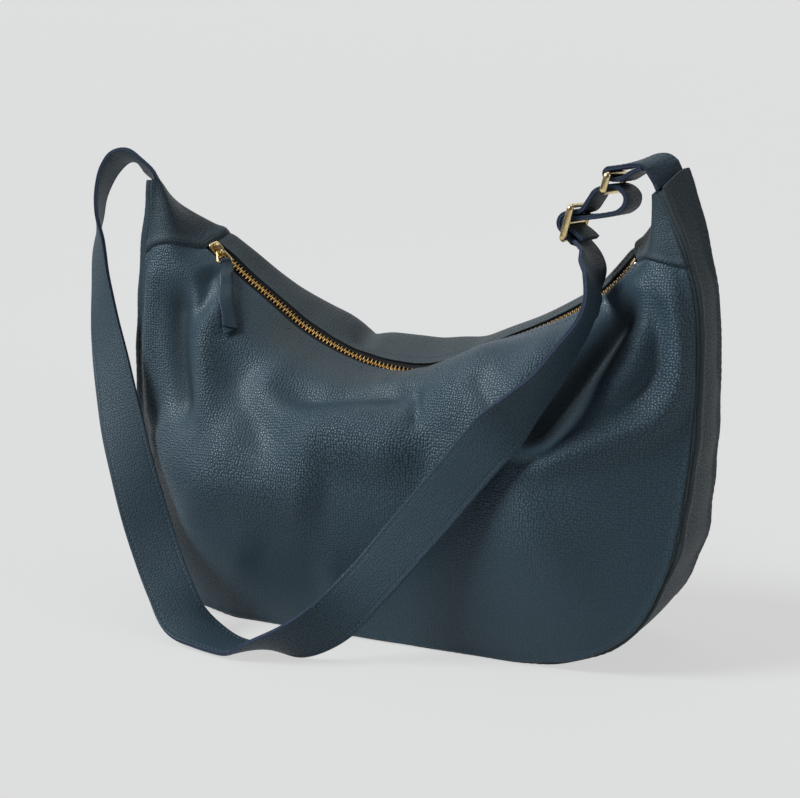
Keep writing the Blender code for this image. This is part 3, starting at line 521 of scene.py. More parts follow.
class ShaderSheet:
    """The node tree of one material."""

    def __init__(self, name: str) -> None:
        """Starts a material with its shader and output."""
        self.material = bpy.data.materials.new(name)
        self.material.use_nodes = True
        self.tree = self.material.node_tree
        self.tree.nodes.clear()
        self.output = self.tree.nodes.new("ShaderNodeOutputMaterial")

    def add(self, kind: str, settings: dict[str, Any], sockets: dict[Any, Any],
            result: Any = 0) -> Signal:
        """Adds a node.

        Args:
            kind: The node's type.
            settings: Its own settings, set before its sockets.
            sockets: Values or signals for its inputs, by name or number.
            result: The output wanted, by name or number.

        Returns:
            That output.
        """
        node = self.tree.nodes.new(kind)
        for name, value in settings.items():
            setattr(node, name, value)
        for name, value in sockets.items():
            self.feed(node.inputs[name], value)
        return Signal(self, node.outputs[result])

    def feed(self, socket: bpy.types.NodeSocket, value: Any) -> None:
        """Links a signal to an input, or sets its number or colour."""
        if isinstance(value, Signal):
            self.tree.links.new(value.socket, socket)
        elif socket.type == "RGBA":
            socket.default_value = (*value, 1.0)
        else:
            socket.default_value = value

    def math(self, operation: str, first: Any, second: Any) -> Signal:
        """A Math node on two values."""
        return self.add("ShaderNodeMath", {"operation": operation}, {0: first, 1: second})

    def mix(self, factor: Any, first: Any, second: Any) -> Signal:
        """A colour between two colours."""
        return self.add("ShaderNodeMix", {"data_type": "RGBA", "clamp_factor": True},
                        {0: factor, 6: first, 7: second}, 2)

    def places(self, scale: tuple[float, float, float] = (1.0, 1.0, 1.0)) -> Signal:
        """The place on the object, stretched along each axis."""
        spot = self.add("ShaderNodeTexCoord", {}, {}, "Object")
        return self.add("ShaderNodeVectorMath", {"operation": "MULTIPLY"}, {0: spot, 1: scale})

    def noise(self, scale: float, detail: float = 2.0, spot: Signal | None = None) -> Signal:
        """A cloudy value around one half."""
        return self.add("ShaderNodeTexNoise", {}, {
            "Scale": scale, "Detail": detail, "Roughness": 0.5, "Vector": spot or self.places()})

    def noted(self, name: str) -> Signal:
        """A number that the mesh keeps for each of its points."""
        return self.add("ShaderNodeAttribute", {"attribute_name": name}, {}, "Fac")

    def bump(self, height: Any, distance: float) -> Signal:
        """A relief of the given height in metres."""
        return self.add("ShaderNodeBump", {},
                        {"Height": height, "Distance": distance, "Strength": 1.0})

    def finish(self, sockets: dict[str, Any]) -> Material:
        """Ends the material in a Principled shader with these values."""
        return self.close(self.add("ShaderNodeBsdfPrincipled", {}, sockets))

    def close(self, shader: Signal) -> Material:
        """Ends the material in a shader."""
        self.tree.links.new(shader.socket, self.output.inputs["Surface"])
        return self.material


@dataclass(frozen=True)
class PebbledLeather:
    """Soft tumbled leather with round pebbles of grain, with painted highlights on the pebbles'
    tops and painted shade in the creases between them.

    Args:
        name: The material's name.
        base: Its colour.
        pebble: Width of a pebble of grain.
        depth: Height of a pebble over the creases round it.
        rough: Its roughness.
        worn_and_sheen: Its greyer colour where it is smooth from wear, and where a sheen is
            painted.
        strength: How strong the grain is.
        reads_mesh: Whether the mesh says where the grain is strong, where it is worn and sheen is
            painted, and where shade is painted.
    """

    name: str
    base: Colour = (0.0262, 0.0500, 0.0690)
    pebble: float = 1.85 * MM
    depth: float = 0.38 * MM
    rough: float = 0.27
    worn_and_sheen: Colour = (0.0480, 0.0600, 0.0640)
    strength: float = 1.0
    reads_mesh: bool = False

    def material(self) -> Material:
        """The leather's material."""
        sheet = ShaderSheet(self.name)
        skin = sheet.add("ShaderNodeAttribute", {"attribute_name": "skin"}, {}, "Vector")
        drift = sheet.add("ShaderNodeTexNoise", {}, {"Vector": skin, "Scale": 110.0}, "Color")
        shaken = sheet.add("ShaderNodeVectorMath", {"operation": "MULTIPLY_ADD"},
                           {0: drift, 1: (0.0016,) * 3, 2: skin})
        cells = {"Vector": shaken, "Scale": 1.0 / self.pebble, "Randomness": 0.62}
        flat = {"voronoi_dimensions": "2D"}
        crease = sheet.add("ShaderNodeTexVoronoi", {**flat, "feature": "DISTANCE_TO_EDGE"},
                           cells).within(0.0, 0.14)
        middle = sheet.add("ShaderNodeTexVoronoi", {**flat, "feature": "SMOOTH_F1"},
                           {**cells, "Smoothness": 0.15})
        dome = 1.0 - middle.within(0.10, 0.62)
        # top marks the pebbles' tops, where the painted highlights go.
        top = 1.0 - middle.within(0.03, 0.30)
        grain = (sheet.noise(45.0, 2.0).within(0.30, 0.72) * 0.22 + 0.78) * self.strength
        # Random wear, to which the mesh adds its wear and painted sheen.
        wear_and_sheen = sheet.noise(24.0, 2.0).within(0.45, 0.80) * 0.10
        if self.reads_mesh:
            grain = grain * sheet.noted("grain")
            wear_and_sheen = wear_and_sheen + sheet.noted("wear_and_sheen")
        wrinkle = sheet.noise(240.0, 4.0, sheet.places((0.6, 0.6, 1.6))).within(0.35, 0.70)
        fine = sheet.noise(2600.0, 2.0)
        relief = sheet.bump((dome + crease * 0.3) * grain + wrinkle * 0.12 * (1.2 - grain)
                            + fine * 0.02, self.depth)
        clouds = sheet.noise(11.0, 4.0).within(0.25, 0.75)
        pale = tuple(channel * 1.15 + 0.002 for channel in self.base)
        # deep is a painted shade colour, for the creases between pebbles and for the deep folds.
        deep = tuple(channel * 0.22 for channel in self.base)
        # A painted highlight colour, laid on the pebbles' tops below.
        painted_highlight = tuple(channel * 2.9 + 0.050 for channel in self.base)
        colour = sheet.mix(clouds * 0.8, self.base, pale)
        # Greyer colour from wear and from painted sheen.
        colour = sheet.mix(wear_and_sheen, colour, self.worn_and_sheen)
        # Painted shade from the mesh: deep in the folds, faint and even over the caps and gusset.
        if self.reads_mesh:
            colour = sheet.mix(sheet.noted("painted_shade"), colour, deep)
        # Painted shade in the creases between the pebbles.
        colour = sheet.mix((1.0 - dome) * grain * 0.32, colour, deep)
        # Painted highlights on the pebbles' tops, stronger where the grain is strong.
        colour = sheet.mix(top * grain**1.6 * 0.95, colour, painted_highlight)
        rough = self.rough + 0.22 * (1.0 - dome) + 0.05 * clouds + 0.22 * wear_and_sheen
        if self.reads_mesh:
            rough = rough + 0.30 * sheet.noted("painted_shade")
        return sheet.finish({"Base Color": colour, "Roughness": rough, "Normal": relief,
                             "Specular IOR Level": 0.33, "Specular Tint": (0.86, 0.95, 1.0)})


@dataclass(frozen=True)
class RawEdge:
    """The cut edge of leather, inked blue and a little fuzzy."""

    name: str
    base: Colour = (0.022, 0.033, 0.062)
    pale: Colour = (0.048, 0.064, 0.108)

    def material(self) -> Material:
        """The edge's material."""
        sheet = ShaderSheet(self.name)
        fuzz = sheet.noise(1500.0, 4.0).within(0.3, 0.75)
        bands = sheet.noise(320.0, 3.0).within(0.35, 0.7)
        colour = sheet.mix(fuzz * 0.6 + bands * 0.3, self.base, self.pale)
        relief = sheet.bump(fuzz + bands, 0.22 * MM)
        return sheet.finish({"Base Color": colour, "Roughness": 0.82, "Normal": relief,
                             "Specular IOR Level": 0.25})


@dataclass(frozen=True)
class WovenTape:
    """Black zip tape, woven in fine ribs."""

    name: str
    base: Colour = (0.0045, 0.0050, 0.0060)
    pale: Colour = (0.018, 0.020, 0.023)

    def material(self) -> Material:
        """The tape's material."""
        sheet = ShaderSheet(self.name)
        spot = sheet.places()
        along = sheet.add("ShaderNodeTexWave", {"bands_direction": "X"},
                          {"Vector": spot, "Scale": 420.0, "Distortion": 0.6})
        across = sheet.add("ShaderNodeTexWave", {"bands_direction": "Y"},
                           {"Vector": spot, "Scale": 420.0, "Distortion": 0.6})
        weave = along * 0.5 + across * 0.5
        relief = sheet.bump(weave, 0.12 * MM)
        return sheet.finish({"Base Color": sheet.mix(weave * 0.7, self.base, self.pale),
                             "Roughness": 0.85, "Normal": relief, "Specular IOR Level": 0.25})


@dataclass(frozen=True)
class Thread:
    """Waxed sewing thread."""

    name: str
    base: Colour = (0.030, 0.045, 0.070)

    def material(self) -> Material:
        """The thread's material."""
        sheet = ShaderSheet(self.name)
        twist = sheet.noise(2400.0, 2.0)
        pale = tuple(channel * 1.9 for channel in self.base)
        return sheet.finish({"Base Color": sheet.mix(twist, self.base, pale), "Roughness": 0.6,
                             "Normal": sheet.bump(twist, 0.06 * MM)})


@dataclass(frozen=True)
class Brass:
    """Pale brass, from polished to satin.

    Args:
        name: The material's name.
        base: Its colour.
        tarnish: Its colour where it is handled less.
        rough: Its roughness.
    """

    name: str
    base: Colour = (0.83, 0.66, 0.36)
    tarnish: Colour = (0.62, 0.44, 0.19)
    rough: float = 0.17

    def material(self) -> Material:
        """The metal's material."""
        sheet = ShaderSheet(self.name)
        clouds = sheet.noise(260.0, 3.0).within(0.35, 0.75)
        scratches = sheet.noise(900.0, 3.0, sheet.places((1.0, 0.2, 1.0)))
        return sheet.finish({
            "Base Color": sheet.mix(clouds * 0.45, self.base, self.tarnish), "Metallic": 1.0,
            "Roughness": self.rough + 0.12 * clouds + 0.06 * scratches,
            "Normal": sheet.bump(scratches + clouds * 0.4, 0.03 * MM)})


@dataclass(frozen=True)
class StudioPaper:
    """Seamless pale paper under and behind the bag."""

    name: str
    base: Colour = (0.500, 0.500, 0.500)
    floor_pale: Colour = (0.835, 0.835, 0.835)
    wall_pale: Colour = (1.0, 1.0, 1.0)
    share: float = 0.70

    def material(self) -> Material:
        """The paper's material: lit paper that shadows fall on, made pale where it is seen."""
        sheet = ShaderSheet(self.name)
        clouds = sheet.noise(1.3, 2.0).within(0.3, 0.7)
        darker = tuple(channel * 0.975 for channel in self.base)
        paper = sheet.add("ShaderNodeBsdfPrincipled", {}, {
            "Base Color": sheet.mix(clouds, self.base, darker), "Roughness": 0.9,
            "Specular IOR Level": 0.1})
        height = sheet.add("ShaderNodeSeparateXYZ", {}, {0: sheet.places()}, "Z")
        pale = sheet.add("ShaderNodeEmission", {}, {"Color": sheet.mix(
            height.within(0.1, 1.8), self.floor_pale, self.wall_pale)})
        seen = (sheet.add("ShaderNodeLightPath", {}, {}, "Is Camera Ray")
                + sheet.add("ShaderNodeLightPath", {}, {}, "Is Glossy Ray"))
        return sheet.close(sheet.add("ShaderNodeMixShader", {}, {
            0: seen * self.share, 1: paper, 2: pale}))


class Finishes:
    """Every material of the bag, made once."""

    def __init__(self) -> None:
        """Makes the materials."""
        self.leather = PebbledLeather("pebbled_leather", reads_mesh=True).material()
        self.strap_leather = PebbledLeather("strap_leather", (0.0230, 0.0435, 0.0600), rough=0.42,
                                            strength=0.40).material()
        self.tab_leather = PebbledLeather("tab_leather", (0.0215, 0.0400, 0.0560),
                                          strength=0.25).material()
        self.edge = RawEdge("inked_edge").material()
        self.tape = WovenTape("zip_tape").material()
        self.thread = Thread("sewing_thread").material()
        self.brass = Brass("polished_brass").material()
        self.tooth = Brass("tooth_brass", (0.62, 0.40, 0.15), (0.38, 0.22, 0.07), 0.26).material()


# The bag's form.


@dataclass(frozen=True)
class Horn:
    """How one horn of the bag leans, and the way its tip's width runs."""

    side: int
    sway: float
    rise: float
    tip_cross: tuple[float, float, float]


@dataclass
class SeamLine:
    """The gusset's middle line: a row for each station from the left horn to the right one."""

    middle: Array
    cross: Array
    half: Array
    outward: Array
    crown: Array
    along: Array
    first: int
    last: int


@dataclass
class ZipLine:
    """The line of the zip's chain, with the ways that the two panels leave it.

    Args:
        points_mm: Places (x, z) of the chain.
        front_dip: By x in millimetres, how many degrees the front leaves it downwards.
        back_rise: By x in millimetres, how many degrees the back leaves it upwards.
        step: How far to each side of a place the chain's way is taken.
    """

    points_mm: tuple[tuple[float, float], ...] = (
        (-156.0, 258.6), (-150.6, 254.6), (-142.0, 248.9), (-125.0, 236.0), (-110.0, 225.6),
        (-96.0, 215.4), (-83.0, 206.0), (-69.0, 198.0), (-53.0, 190.6), (-40.0, 185.3),
        (-26.0, 181.2), (-12.0, 178.8), (2.0, 177.8), (15.0, 179.0), (28.0, 182.4),
        (42.0, 188.3), (58.0, 196.6), (76.0, 205.2), (90.0, 211.0), (103.0, 216.8),
        (118.0, 224.6), (133.0, 234.0), (146.0, 245.8), (158.0, 259.6))
    front_dip: tuple[tuple[float, float], ...] = (
        (-160, 30), (-100, 31), (-60, 28), (-30, 18), (0, 4), (30, -10), (60, -8), (90, 10),
        (120, 24), (158, 30))
    back_rise: tuple[tuple[float, float], ...] = (
        (-160, 26), (-107, 17), (-90, 21), (-72, 23), (-58, 19), (-48, 20), (-30, 32), (-6, 37),
        (26, 33), (50, 18), (80, 15), (120, 20), (158, 28))
    step: float = 2 * MM
    line: Array = field(init=False)
    along: Array = field(init=False)

    def __post_init__(self) -> None:
        """Lays the smooth line."""
        flat = curve_through(np.array(self.points_mm) * MM, 12)
        self.line = np.column_stack((flat[:, 0], np.zeros(len(flat)), flat[:, 1]))
        self.along = lengths_along(self.line)

    @property
    def length(self) -> float:
        """The chain's whole length."""
        return float(self.along[-1])

    def place_at(self, x: float) -> float:
        """The distance along the chain of a place by its x."""
        return float(np.interp(x, self.line[:, 0], self.along))

    def frames(self, places: Array) -> tuple[Array, Array, Array, Array]:
        """The chain at distances along it.

        Args:
            places: Distances from its left end.

        Returns:
            Its points, its ways along, and the ways that the front and the back leave it.
        """
        points = points_at(self.line, places)
        along = unit(points_at(self.line, places + self.step)
                     - points_at(self.line, places - self.step))
        down = np.column_stack((along[:, 2], np.zeros(len(along)), -along[:, 0]))
        dip = np.radians(soft_table(self.front_dip, points[:, 0] / MM))[:, None]
        rise = np.radians(soft_table(self.back_rise, points[:, 0] / MM))[:, None]
        front = np.sin(dip) * down - np.cos(dip) * Y_AXIS
        back = -np.sin(rise) * down + np.cos(rise) * Y_AXIS
        return points, along, front, back


@dataclass
class BagForm:
    """The shape of the leather shell: seams, horns and the surface between them."""

    half_width: float = 0.207
    horn_height: float = 0.303
    base_depth: float = 0.104
    leather: float = 0.0016
    cap_length: float = 0.053
    side_crown: float = 0.004
    panel_bulge: float = 25.0
    horn_half: float = 0.0202
    horn_mouth: float = 0.0077
    horn_shoulder: float = 0.82
    mouth_half: float = 0.0068
    left: Horn = Horn(-1, 0.0050, -0.0045, (-0.40, 0.87, -0.28))
    right: Horn = Horn(1, -0.0186, 0.0065, (0.19, 0.89, 0.41))
    sway_start: float = 0.70
    ridge_turn: float = 0.45
    row_points: int = 60
    arrive: tuple[float, float] = (0.45, 0.55)
    cap_leave: float = 0.36
    crease_rows: int = 27
    crease_fade: float = 30 * MM
    near_seam_mm: tuple[float, ...] = (0.0, 0.3, 0.7, 1.2, 1.8, 2.5, 3.4, 4.6, 6.2, 8.2)
    near_mouth_mm: tuple[float, ...] = (1.6, 0.7, 0.0)
    zip_line: ZipLine = field(default_factory=ZipLine)
    side_shares: tuple[tuple[float, float], ...] = (
        (0.966, 1.0), (0.990, 0.80), (1.0, 0.58), (0.985, 0.38), (0.945, 0.21),
        (0.86, 0.095), (0.72, 0.032), (0.58, 0.007), (0.464, 0.0), (0.35, 0.0))
    gusset_shares: tuple[tuple[float, float], ...] = (
        (0.0, 1.0), (0.10, 0.90), (0.26, 0.55), (0.46, 0.25), (0.66, 0.13), (0.83, 0.05),
        (1.0, 0.0))
    crown_shares: tuple[tuple[float, float], ...] = (
        (0.0, 0.0), (0.10, 0.3), (0.4, 1.0), (0.7, 0.7), (1.0, 0.0))
    row_step: float = 2.6 * MM
    fine_step: float = 0.45 * MM
    cap_step: float = 2.2 * MM
    line_steps: int = 24
    width_rows: int = 13
    seam: SeamLine = field(init=False)

    def __post_init__(self) -> None:
        """Lays the gusset's middle line."""
        self.seam = self.seam_line()

    def half_line(self, horn: Horn) -> tuple[Array, Array, int]:
        """Half of the gusset's middle line, from a horn's tip to the flat of the base."""
        shares = np.array(self.side_shares)
        steps = self.line_steps
        line = curve_through(shares * (self.half_width, self.horn_height), steps)[:-steps]
        length = lengths_along(line)[-1]
        cap = graded(self.cap_length, self.fine_step, self.cap_step)
        side = graded(length - self.cap_length, self.fine_step, self.row_step, both=False)
        line = points_at(line, np.concatenate((cap[:-1], self.cap_length + side)))
        reach = (line[:, 1] / self.horn_height - self.sway_start) / (1 - self.sway_start)
        reach = np.clip(reach, 0, 1)[:, None] ** 2
        across = horn.side * (line[:, :1] + horn.sway * reach)
        height = line[:, 1:] + horn.rise * reach
        cross = unit(between(Y_AXIS, np.array(horn.tip_cross), reach))
        return np.hstack((across, np.zeros_like(across), height)), cross, len(cap) - 1

    def seam_line(self) -> SeamLine:
        """The whole of the gusset's middle line."""
        left, left_cross, cap_rows = self.half_line(self.left)
        right, right_cross, _ = self.half_line(self.right)
        count = int(np.linalg.norm(right[-1] - left[-1]) / self.row_step)
        flat = np.linspace(left[-1], right[-1], count + 1)[1:-1]
        middle = np.concatenate((left, flat, right[::-1]))
        cross = np.concatenate((left_cross, np.tile(Y_AXIS, (len(flat), 1)), right_cross[::-1]))
        share = np.clip(middle[:, 2] / self.horn_height, 0, 1)
        half = between(self.horn_half, self.base_depth / 2,
                       table_value(self.gusset_shares, share))
        kernel = np.hanning(self.width_rows)
        padded = np.pad(half, self.width_rows // 2, mode="edge")
        half = np.convolve(padded, kernel / kernel.sum(), mode="valid")
        tangent = unit(np.gradient(middle, axis=0))
        outward = unit(np.cross(cross, tangent))
        crown = self.side_crown * soft_table(self.crown_shares, share)
        return SeamLine(middle, cross, half, outward, crown, lengths_along(middle),
                        cap_rows, len(middle) - 1 - cap_rows)

    def cap_ridge(self, horn: Horn, tip: Array, shares: Array) -> Array:
        """Ridge of a horn's cap at shares of the way from the zip's end to the tip."""
        place = 0.0 if horn.side < 0 else self.zip_line.length
        start, along, _, _ = (part[0] for part in self.zip_line.frames(np.array([place])))
        turn = start + horn.side * along * np.linalg.norm(tip - start) * self.ridge_turn
        rest, share = (1 - shares)[:, None], shares[:, None]
        return rest**2 * start + 2 * rest * share * turn + share**2 * tip

    def tops(self) -> tuple[Array, Array, Array, Array]:
        """For each row its point on the chain or ridge, the ways to front and back, cap share."""
        seam = self.seam
        rows = len(seam.middle)
        top, front, back = (np.zeros((rows, 3)) for _ in range(3))
        cap = np.zeros(rows)
        span = slice(seam.first, seam.last + 1)
        share = ((seam.along[span] - seam.along[seam.first])
                 / (seam.along[seam.last] - seam.along[seam.first]))
        top[span], _, front[span], back[span] = self.zip_line.frames(
            share * self.zip_line.length)
        for horn, tip_row, edge in ((self.left, 0, seam.first), (self.right, rows - 1, seam.last)):
            numbers = np.arange(edge - 1, -1, -1) if horn.side < 0 else np.arange(edge + 1, rows)
            way = np.abs(seam.along[numbers] - seam.along[edge])
            shares = way / abs(seam.along[tip_row] - seam.along[edge])
            tip = seam.middle[tip_row] - seam.outward[tip_row] * self.horn_mouth
            bend = ease(shares)[:, None]
            top[numbers] = self.cap_ridge(horn, tip, shares)
            front[numbers] = unit(between(front[edge], -seam.cross[tip_row], bend))
            back[numbers] = unit(between(back[edge], seam.cross[tip_row], bend))
            cap[numbers] = shares
        return top, front, back, cap

    def reach_share(self, side: Side, x_mm: Array) -> Array:
        """How far a panel keeps its way from the mouth before it turns down, by x."""
        rows = ((-160, 0.45), (160, 0.45))
        if side is Side.FRONT:
            rows = ((-60, 0.45), (-20, 0.42), (15, 0.34), (30, 0.30), (60, 0.30), (90, 0.36),
                    (120, 0.45))
        return soft_table(rows, x_mm)

    def flank(self, side: Side, columns: int) -> tuple[Array, Array]:
        """One side of the bag from its seam to the mouth's edge or the cap's ridge.

        Args:
            side: Front or back.
            columns: How many columns of points.

        Returns:
            A grid of points, and each one's distance from the seam along its row.
        """
        seam = self.seam
        top, front, back, cap = self.tops()
        way = front if side is Side.FRONT else back
        sign = -side.value
        edge = seam.middle + sign * seam.cross * seam.half[:, None]
        lean = sign * Y_AXIS
        near = between(self.mouth_half, 0.0, ease(cap * 3))[:, None]
        shoulder = between(2 * self.mouth_half, self.horn_shoulder * self.horn_half,
                           cap)[:, None]
        start = top + way * shoulder
        gap = np.linalg.norm(edge - start, axis=1)[:, None]
        bulge = np.radians(self.panel_bulge) * (1 - cap)[:, None]
        arrive = edge + (np.cos(bulge) * -seam.outward + np.sin(bulge) * lean) * gap * between(
            *self.arrive, cap[:, None])
        share_out = self.reach_share(side, top[:, 0] / MM)[:, None]
        leave = start + way * gap * between(share_out, self.cap_leave, cap[:, None])
        dense = [top + way * between(near, shoulder, step) for step in (0.0, 0.5)]
        for share in np.linspace(0, 1, self.row_points):
            rest = 1 - share
            dense.append(rest**3 * start + 3 * rest**2 * share * leave
                         + 3 * rest * share**2 * arrive + share**3 * edge)
        dense = np.stack(dense[::-1], axis=1)
        grid = np.zeros((len(dense), columns, 3))
        far = np.zeros((len(dense), columns))
        for row, line in enumerate(dense):
            far[row] = self.column_places(lengths_along(line)[-1], columns)
            grid[row] = points_at(line, far[row])
        return self.eased(grid, far), far

    def eased(self, grid: Array, far: Array) -> Array:
        """A side's grid without the crease where its side rows and its base rows meet."""
        kernel = np.hanning(self.crease_rows)[1:-1]
        reach = len(kernel) // 2
        free = ease(far / self.crease_fade) * ease((far[:, -1:] - far) / self.crease_fade)
        for _ in range(2):
            padded = np.pad(grid, ((reach, reach), (0, 0), (0, 0)), mode="edge")
            smooth = sum(share * padded[start:start + len(grid)]
                         for start, share in enumerate(kernel / kernel.sum()))
            grid = grid + (smooth - grid) * free[..., None]
        return grid

    def column_places(self, length: float, columns: int) -> Array:
        """Distances of a row's points from the seam, close together near it."""
        near, last = np.array(self.near_seam_mm) * MM, np.array(self.near_mouth_mm) * MM
        middle = np.linspace(near[-1], length - last[0], columns - len(near) - len(last) + 2)
        return np.concatenate((near, middle[1:-1], length - last))

    def gusset(self, columns: int) -> tuple[Array, Array]:
        """The gusset's outer surface, front seam to back seam, and distances from a seam."""
        seam = self.seam
        grid = np.zeros((len(seam.middle), columns, 3))
        far = np.zeros((len(seam.middle), columns))
        near = np.array(self.near_seam_mm[:-2]) * MM
        for row, half in enumerate(seam.half):
            inner = np.linspace(near[-1], half, columns // 2 - len(near) + 2)[1:]
            places = np.concatenate((near, inner)) - half
            places = np.concatenate((places, -places[-2::-1]))
            share = places / half
            grid[row] = (seam.middle[row] + seam.cross[row] * places[:, None]
                         + seam.outward[row] * (seam.crown[row] * (1 - share**2))[:, None])
            far[row] = half - np.abs(places)
        return grid, far


@dataclass
class LeatherShell:
    """The bag's leather: front and back panels, gusset and horn caps, with folds and seams."""

    form: BagForm
    finishes: Finishes
    columns: int = 84
    gusset_columns: int = 29
    seam_roll: float = 2.2 * MM
    seam_depth: float = 3.0 * MM
    welt: float = 0.9 * MM
    gusset_roll: float = 1.9 * MM
    gusset_dent: float = 1.1 * MM
    pucker_depth: float = 0.35 * MM
    fold_fade: float = 11 * MM
    cap_fade: float = 20 * MM
    cap_reach: float = 22 * MM
    cap_shift: float = 5.5 * MM
    cap_bow: float = 8.0 * MM
    seam_slide: float = 4.5 * MM
    slide_top: float = 0.30
    floor_gap: float = 0.2 * MM
    hem: float = 6.0 * MM
    tip_rows: int = 4
    tip_front: tuple[float, float] = (4.0 * MM, 13 * MM)
    tip_back: tuple[float, float] = (0.8 * MM, 6 * MM)
    tip_lean: float = 0.8
    cap_stitch_row: int = 4
    cap_stitch_margin: int = 6
    # Painted shade: the most it reaches in the deepest folds, and the even amount over caps and
    # gusset.
    deepest_painted_shade: float = 0.85
    plain_painted_shade: float = 0.22
    cap_grain: float = 0.42
    # How much of the greyer wear and painted sheen colour the caps take.
    cap_wear_and_sheen: float = 0.35
    gusset_grain: float = 0.30
    front_folds: tuple[Fold, ...] = (
        Fold(((-159, 243), (-163, 227), (-164, 203), (-160, 179), (-152, 152), (-142, 126)),
             -9.5, 12.5, 0.25),
        Fold(((-150, 246), (-146, 235), (-144, 221), (-148, 206)), -4.0, 6.5),
        Fold(((-189, 252), (-190, 219), (-192, 190), (-191, 162), (-183, 134), (-164, 116)),
             3.0, 7.0, 0.1),
        Fold(((-130, 232), (-135, 213), (-137, 194), (-132, 171), (-124, 148), (-113, 128)),
             6.5, 10.0),
        Fold(((-190, 124), (-154, 113), (-120, 110), (-90, 110), (-60, 108), (-20, 104)),
             8.0, 25.0, 0.15),
        Fold(((-124, 196), (-104, 168), (-86, 147), (-72, 127), (-60, 106)), -5.5, 15.0),
        Fold(((-98, 180), (-77, 162), (-62, 152), (-44, 144)), 3.0, 13.0),
        Fold(((-66, 140), (-34, 141), (-9, 140), (18, 136), (47, 129)), 12.0, 18.0),
        Fold(((-90, 172), (-62, 162), (-45, 160), (-26, 162), (-3, 166), (22, 170), (44, 177)),
             -7.0, 6.5),
        Fold(((-16, 174), (2, 176), (26, 180)), 2.5, 5.0),
        Fold(((44, 186), (53, 168), (58, 148)), 1.8, 10.0),
        Fold(((66, 196), (75, 183), (86, 170), (96, 154)), -4.0, 9.5),
        Fold(((25, 174), (32, 160), (36, 146)), -2.6, 5.0),
        Fold(((116, 216), (109, 197), (100, 178), (94, 160)), 3.0, 10.0),
        Fold(((161, 247), (157, 230), (149, 207), (136, 181), (116, 150), (104, 134)),
             -17.0, 12.5, 0.2),
        Fold(((104, 132), (137, 143), (162, 153), (183, 164), (194, 181), (195, 206),
              (190, 236), (184, 262)), 7.5, 9.0, 0.12),
        Fold(((148, 177), (163, 188), (172, 206), (171, 224)), 6.0, 7.5),
        Fold(((174, 252), (182, 230), (185, 209), (181, 191), (168, 174), (148, 165)), -3.8, 7.5),
        Fold(((-96, 60), (-60, 44), (-20, 40)), -3.0, 24.0),
        Fold(((76, 122), (118, 104), (168, 78)), 3.5, 32.0, 0.5))
    back_folds: tuple[Fold, ...] = (
        Fold(((-57, 208), (-45, 194), (-26, 180), (4, 168)), -3.6, 6.0),
        Fold(((-160, 236), (-140, 214), (-124, 186)), -4.0, 12.0),
        Fold(((162, 240), (146, 214), (132, 190)), -5.0, 13.0),
        Fold(((-120, 110), (-40, 102), (50, 104), (130, 112)), 4.0, 30.0),
        Fold(((-60, 168), (0, 158), (60, 166)), -3.0, 16.0))
    skins: dict[Side, Array] = field(init=False, default_factory=dict)
    lifts: dict[Side, Array] = field(init=False, default_factory=dict)
    front: Array = field(init=False)

    def roll(self, far: Array) -> Array:
        """How deep the leather rolls under beside a seam, by distance from it."""
        share = np.clip(1 - far / self.seam_roll, 0, 1)
        welt = self.welt * hill(far - 3.0 * MM, 1.7 * MM)
        return self.seam_depth * (1 - np.sqrt(np.maximum(1 - share**2, 0))) - welt

    def seam_ways(self, panel: Array, gusset: Array) -> Array:
        """The way into the groove between a panel and the gusset, for each row."""
        return -unit(unit(panel) + unit(gusset))

    def pucker(self, far: Array, seed: int) -> Array:
        """Small creases square to a seam, which fade away from it."""
        depth = self.pucker_depth
        wave = ripple(self.form.seam.along, 7 * MM, seed)[:, None]
        broad = ripple(self.form.seam.along, 42 * MM, seed + 1)[:, None]
        return (depth * wave * np.exp(-far / (6 * MM)) + 1.8 * depth * broad
                * np.exp(-far / (16 * MM)))

    def cap_edges(self) -> list[Array]:
        """Lift of each row beside each cap's seam: a ridge on the cap, a step on the panel."""
        seam = self.form.seam
        rows = np.arange(len(seam.along))
        lifts = []
        for edge, on_cap in ((seam.first, rows < seam.first), (seam.last, rows > seam.last)):
            gap = np.abs(seam.along - seam.along[edge])
            ridge = (1.0 * MM * hill(gap - 4 * MM, 3.6 * MM)
                     - 1.3 * MM * np.exp(-gap / (0.8 * MM)))
            lifts.append(np.where(on_cap, ridge, -0.9 * MM * np.exp(-gap / (3.0 * MM))))
        return lifts

    def folded(self, side: Side, grid: Array, far: Array) -> Array:
        """A side's grid with its folds, cap edges and seam creases."""
        normals = grid_normals(grid) * side.value
        flat = grid[..., (0, 2)]
        folds = self.front_folds if side is Side.FRONT else self.back_folds
        lift = sum(fold.lift(flat) for fold in folds)
        lift = lift * ease(far / self.fold_fade) * ease((far[:, -1:] - far) / self.fold_fade)
        self.lifts[side] = lift
        seam = self.form.seam
        near = np.minimum(*(np.abs(seam.along - seam.along[edge])
                            for edge in (seam.first, seam.last)))
        lift = lift * between(0.25, 1.0, ease(near / self.cap_fade))[:, None]
        for edge_lift in self.cap_edges():
            lift = lift + edge_lift[:, None]
        lift = lift + self.pucker(far, 3 + side.value)
        return grid + normals * lift[..., None]

    def gusset_normals(self, grid: Array) -> Array:
        """Normals of a gusset's grid, turned away from the bag."""
        normals = grid_normals(grid)
        outward = self.form.seam.outward[:, None]
        return normals * np.sign(np.sum(normals * outward, axis=-1, keepdims=True))

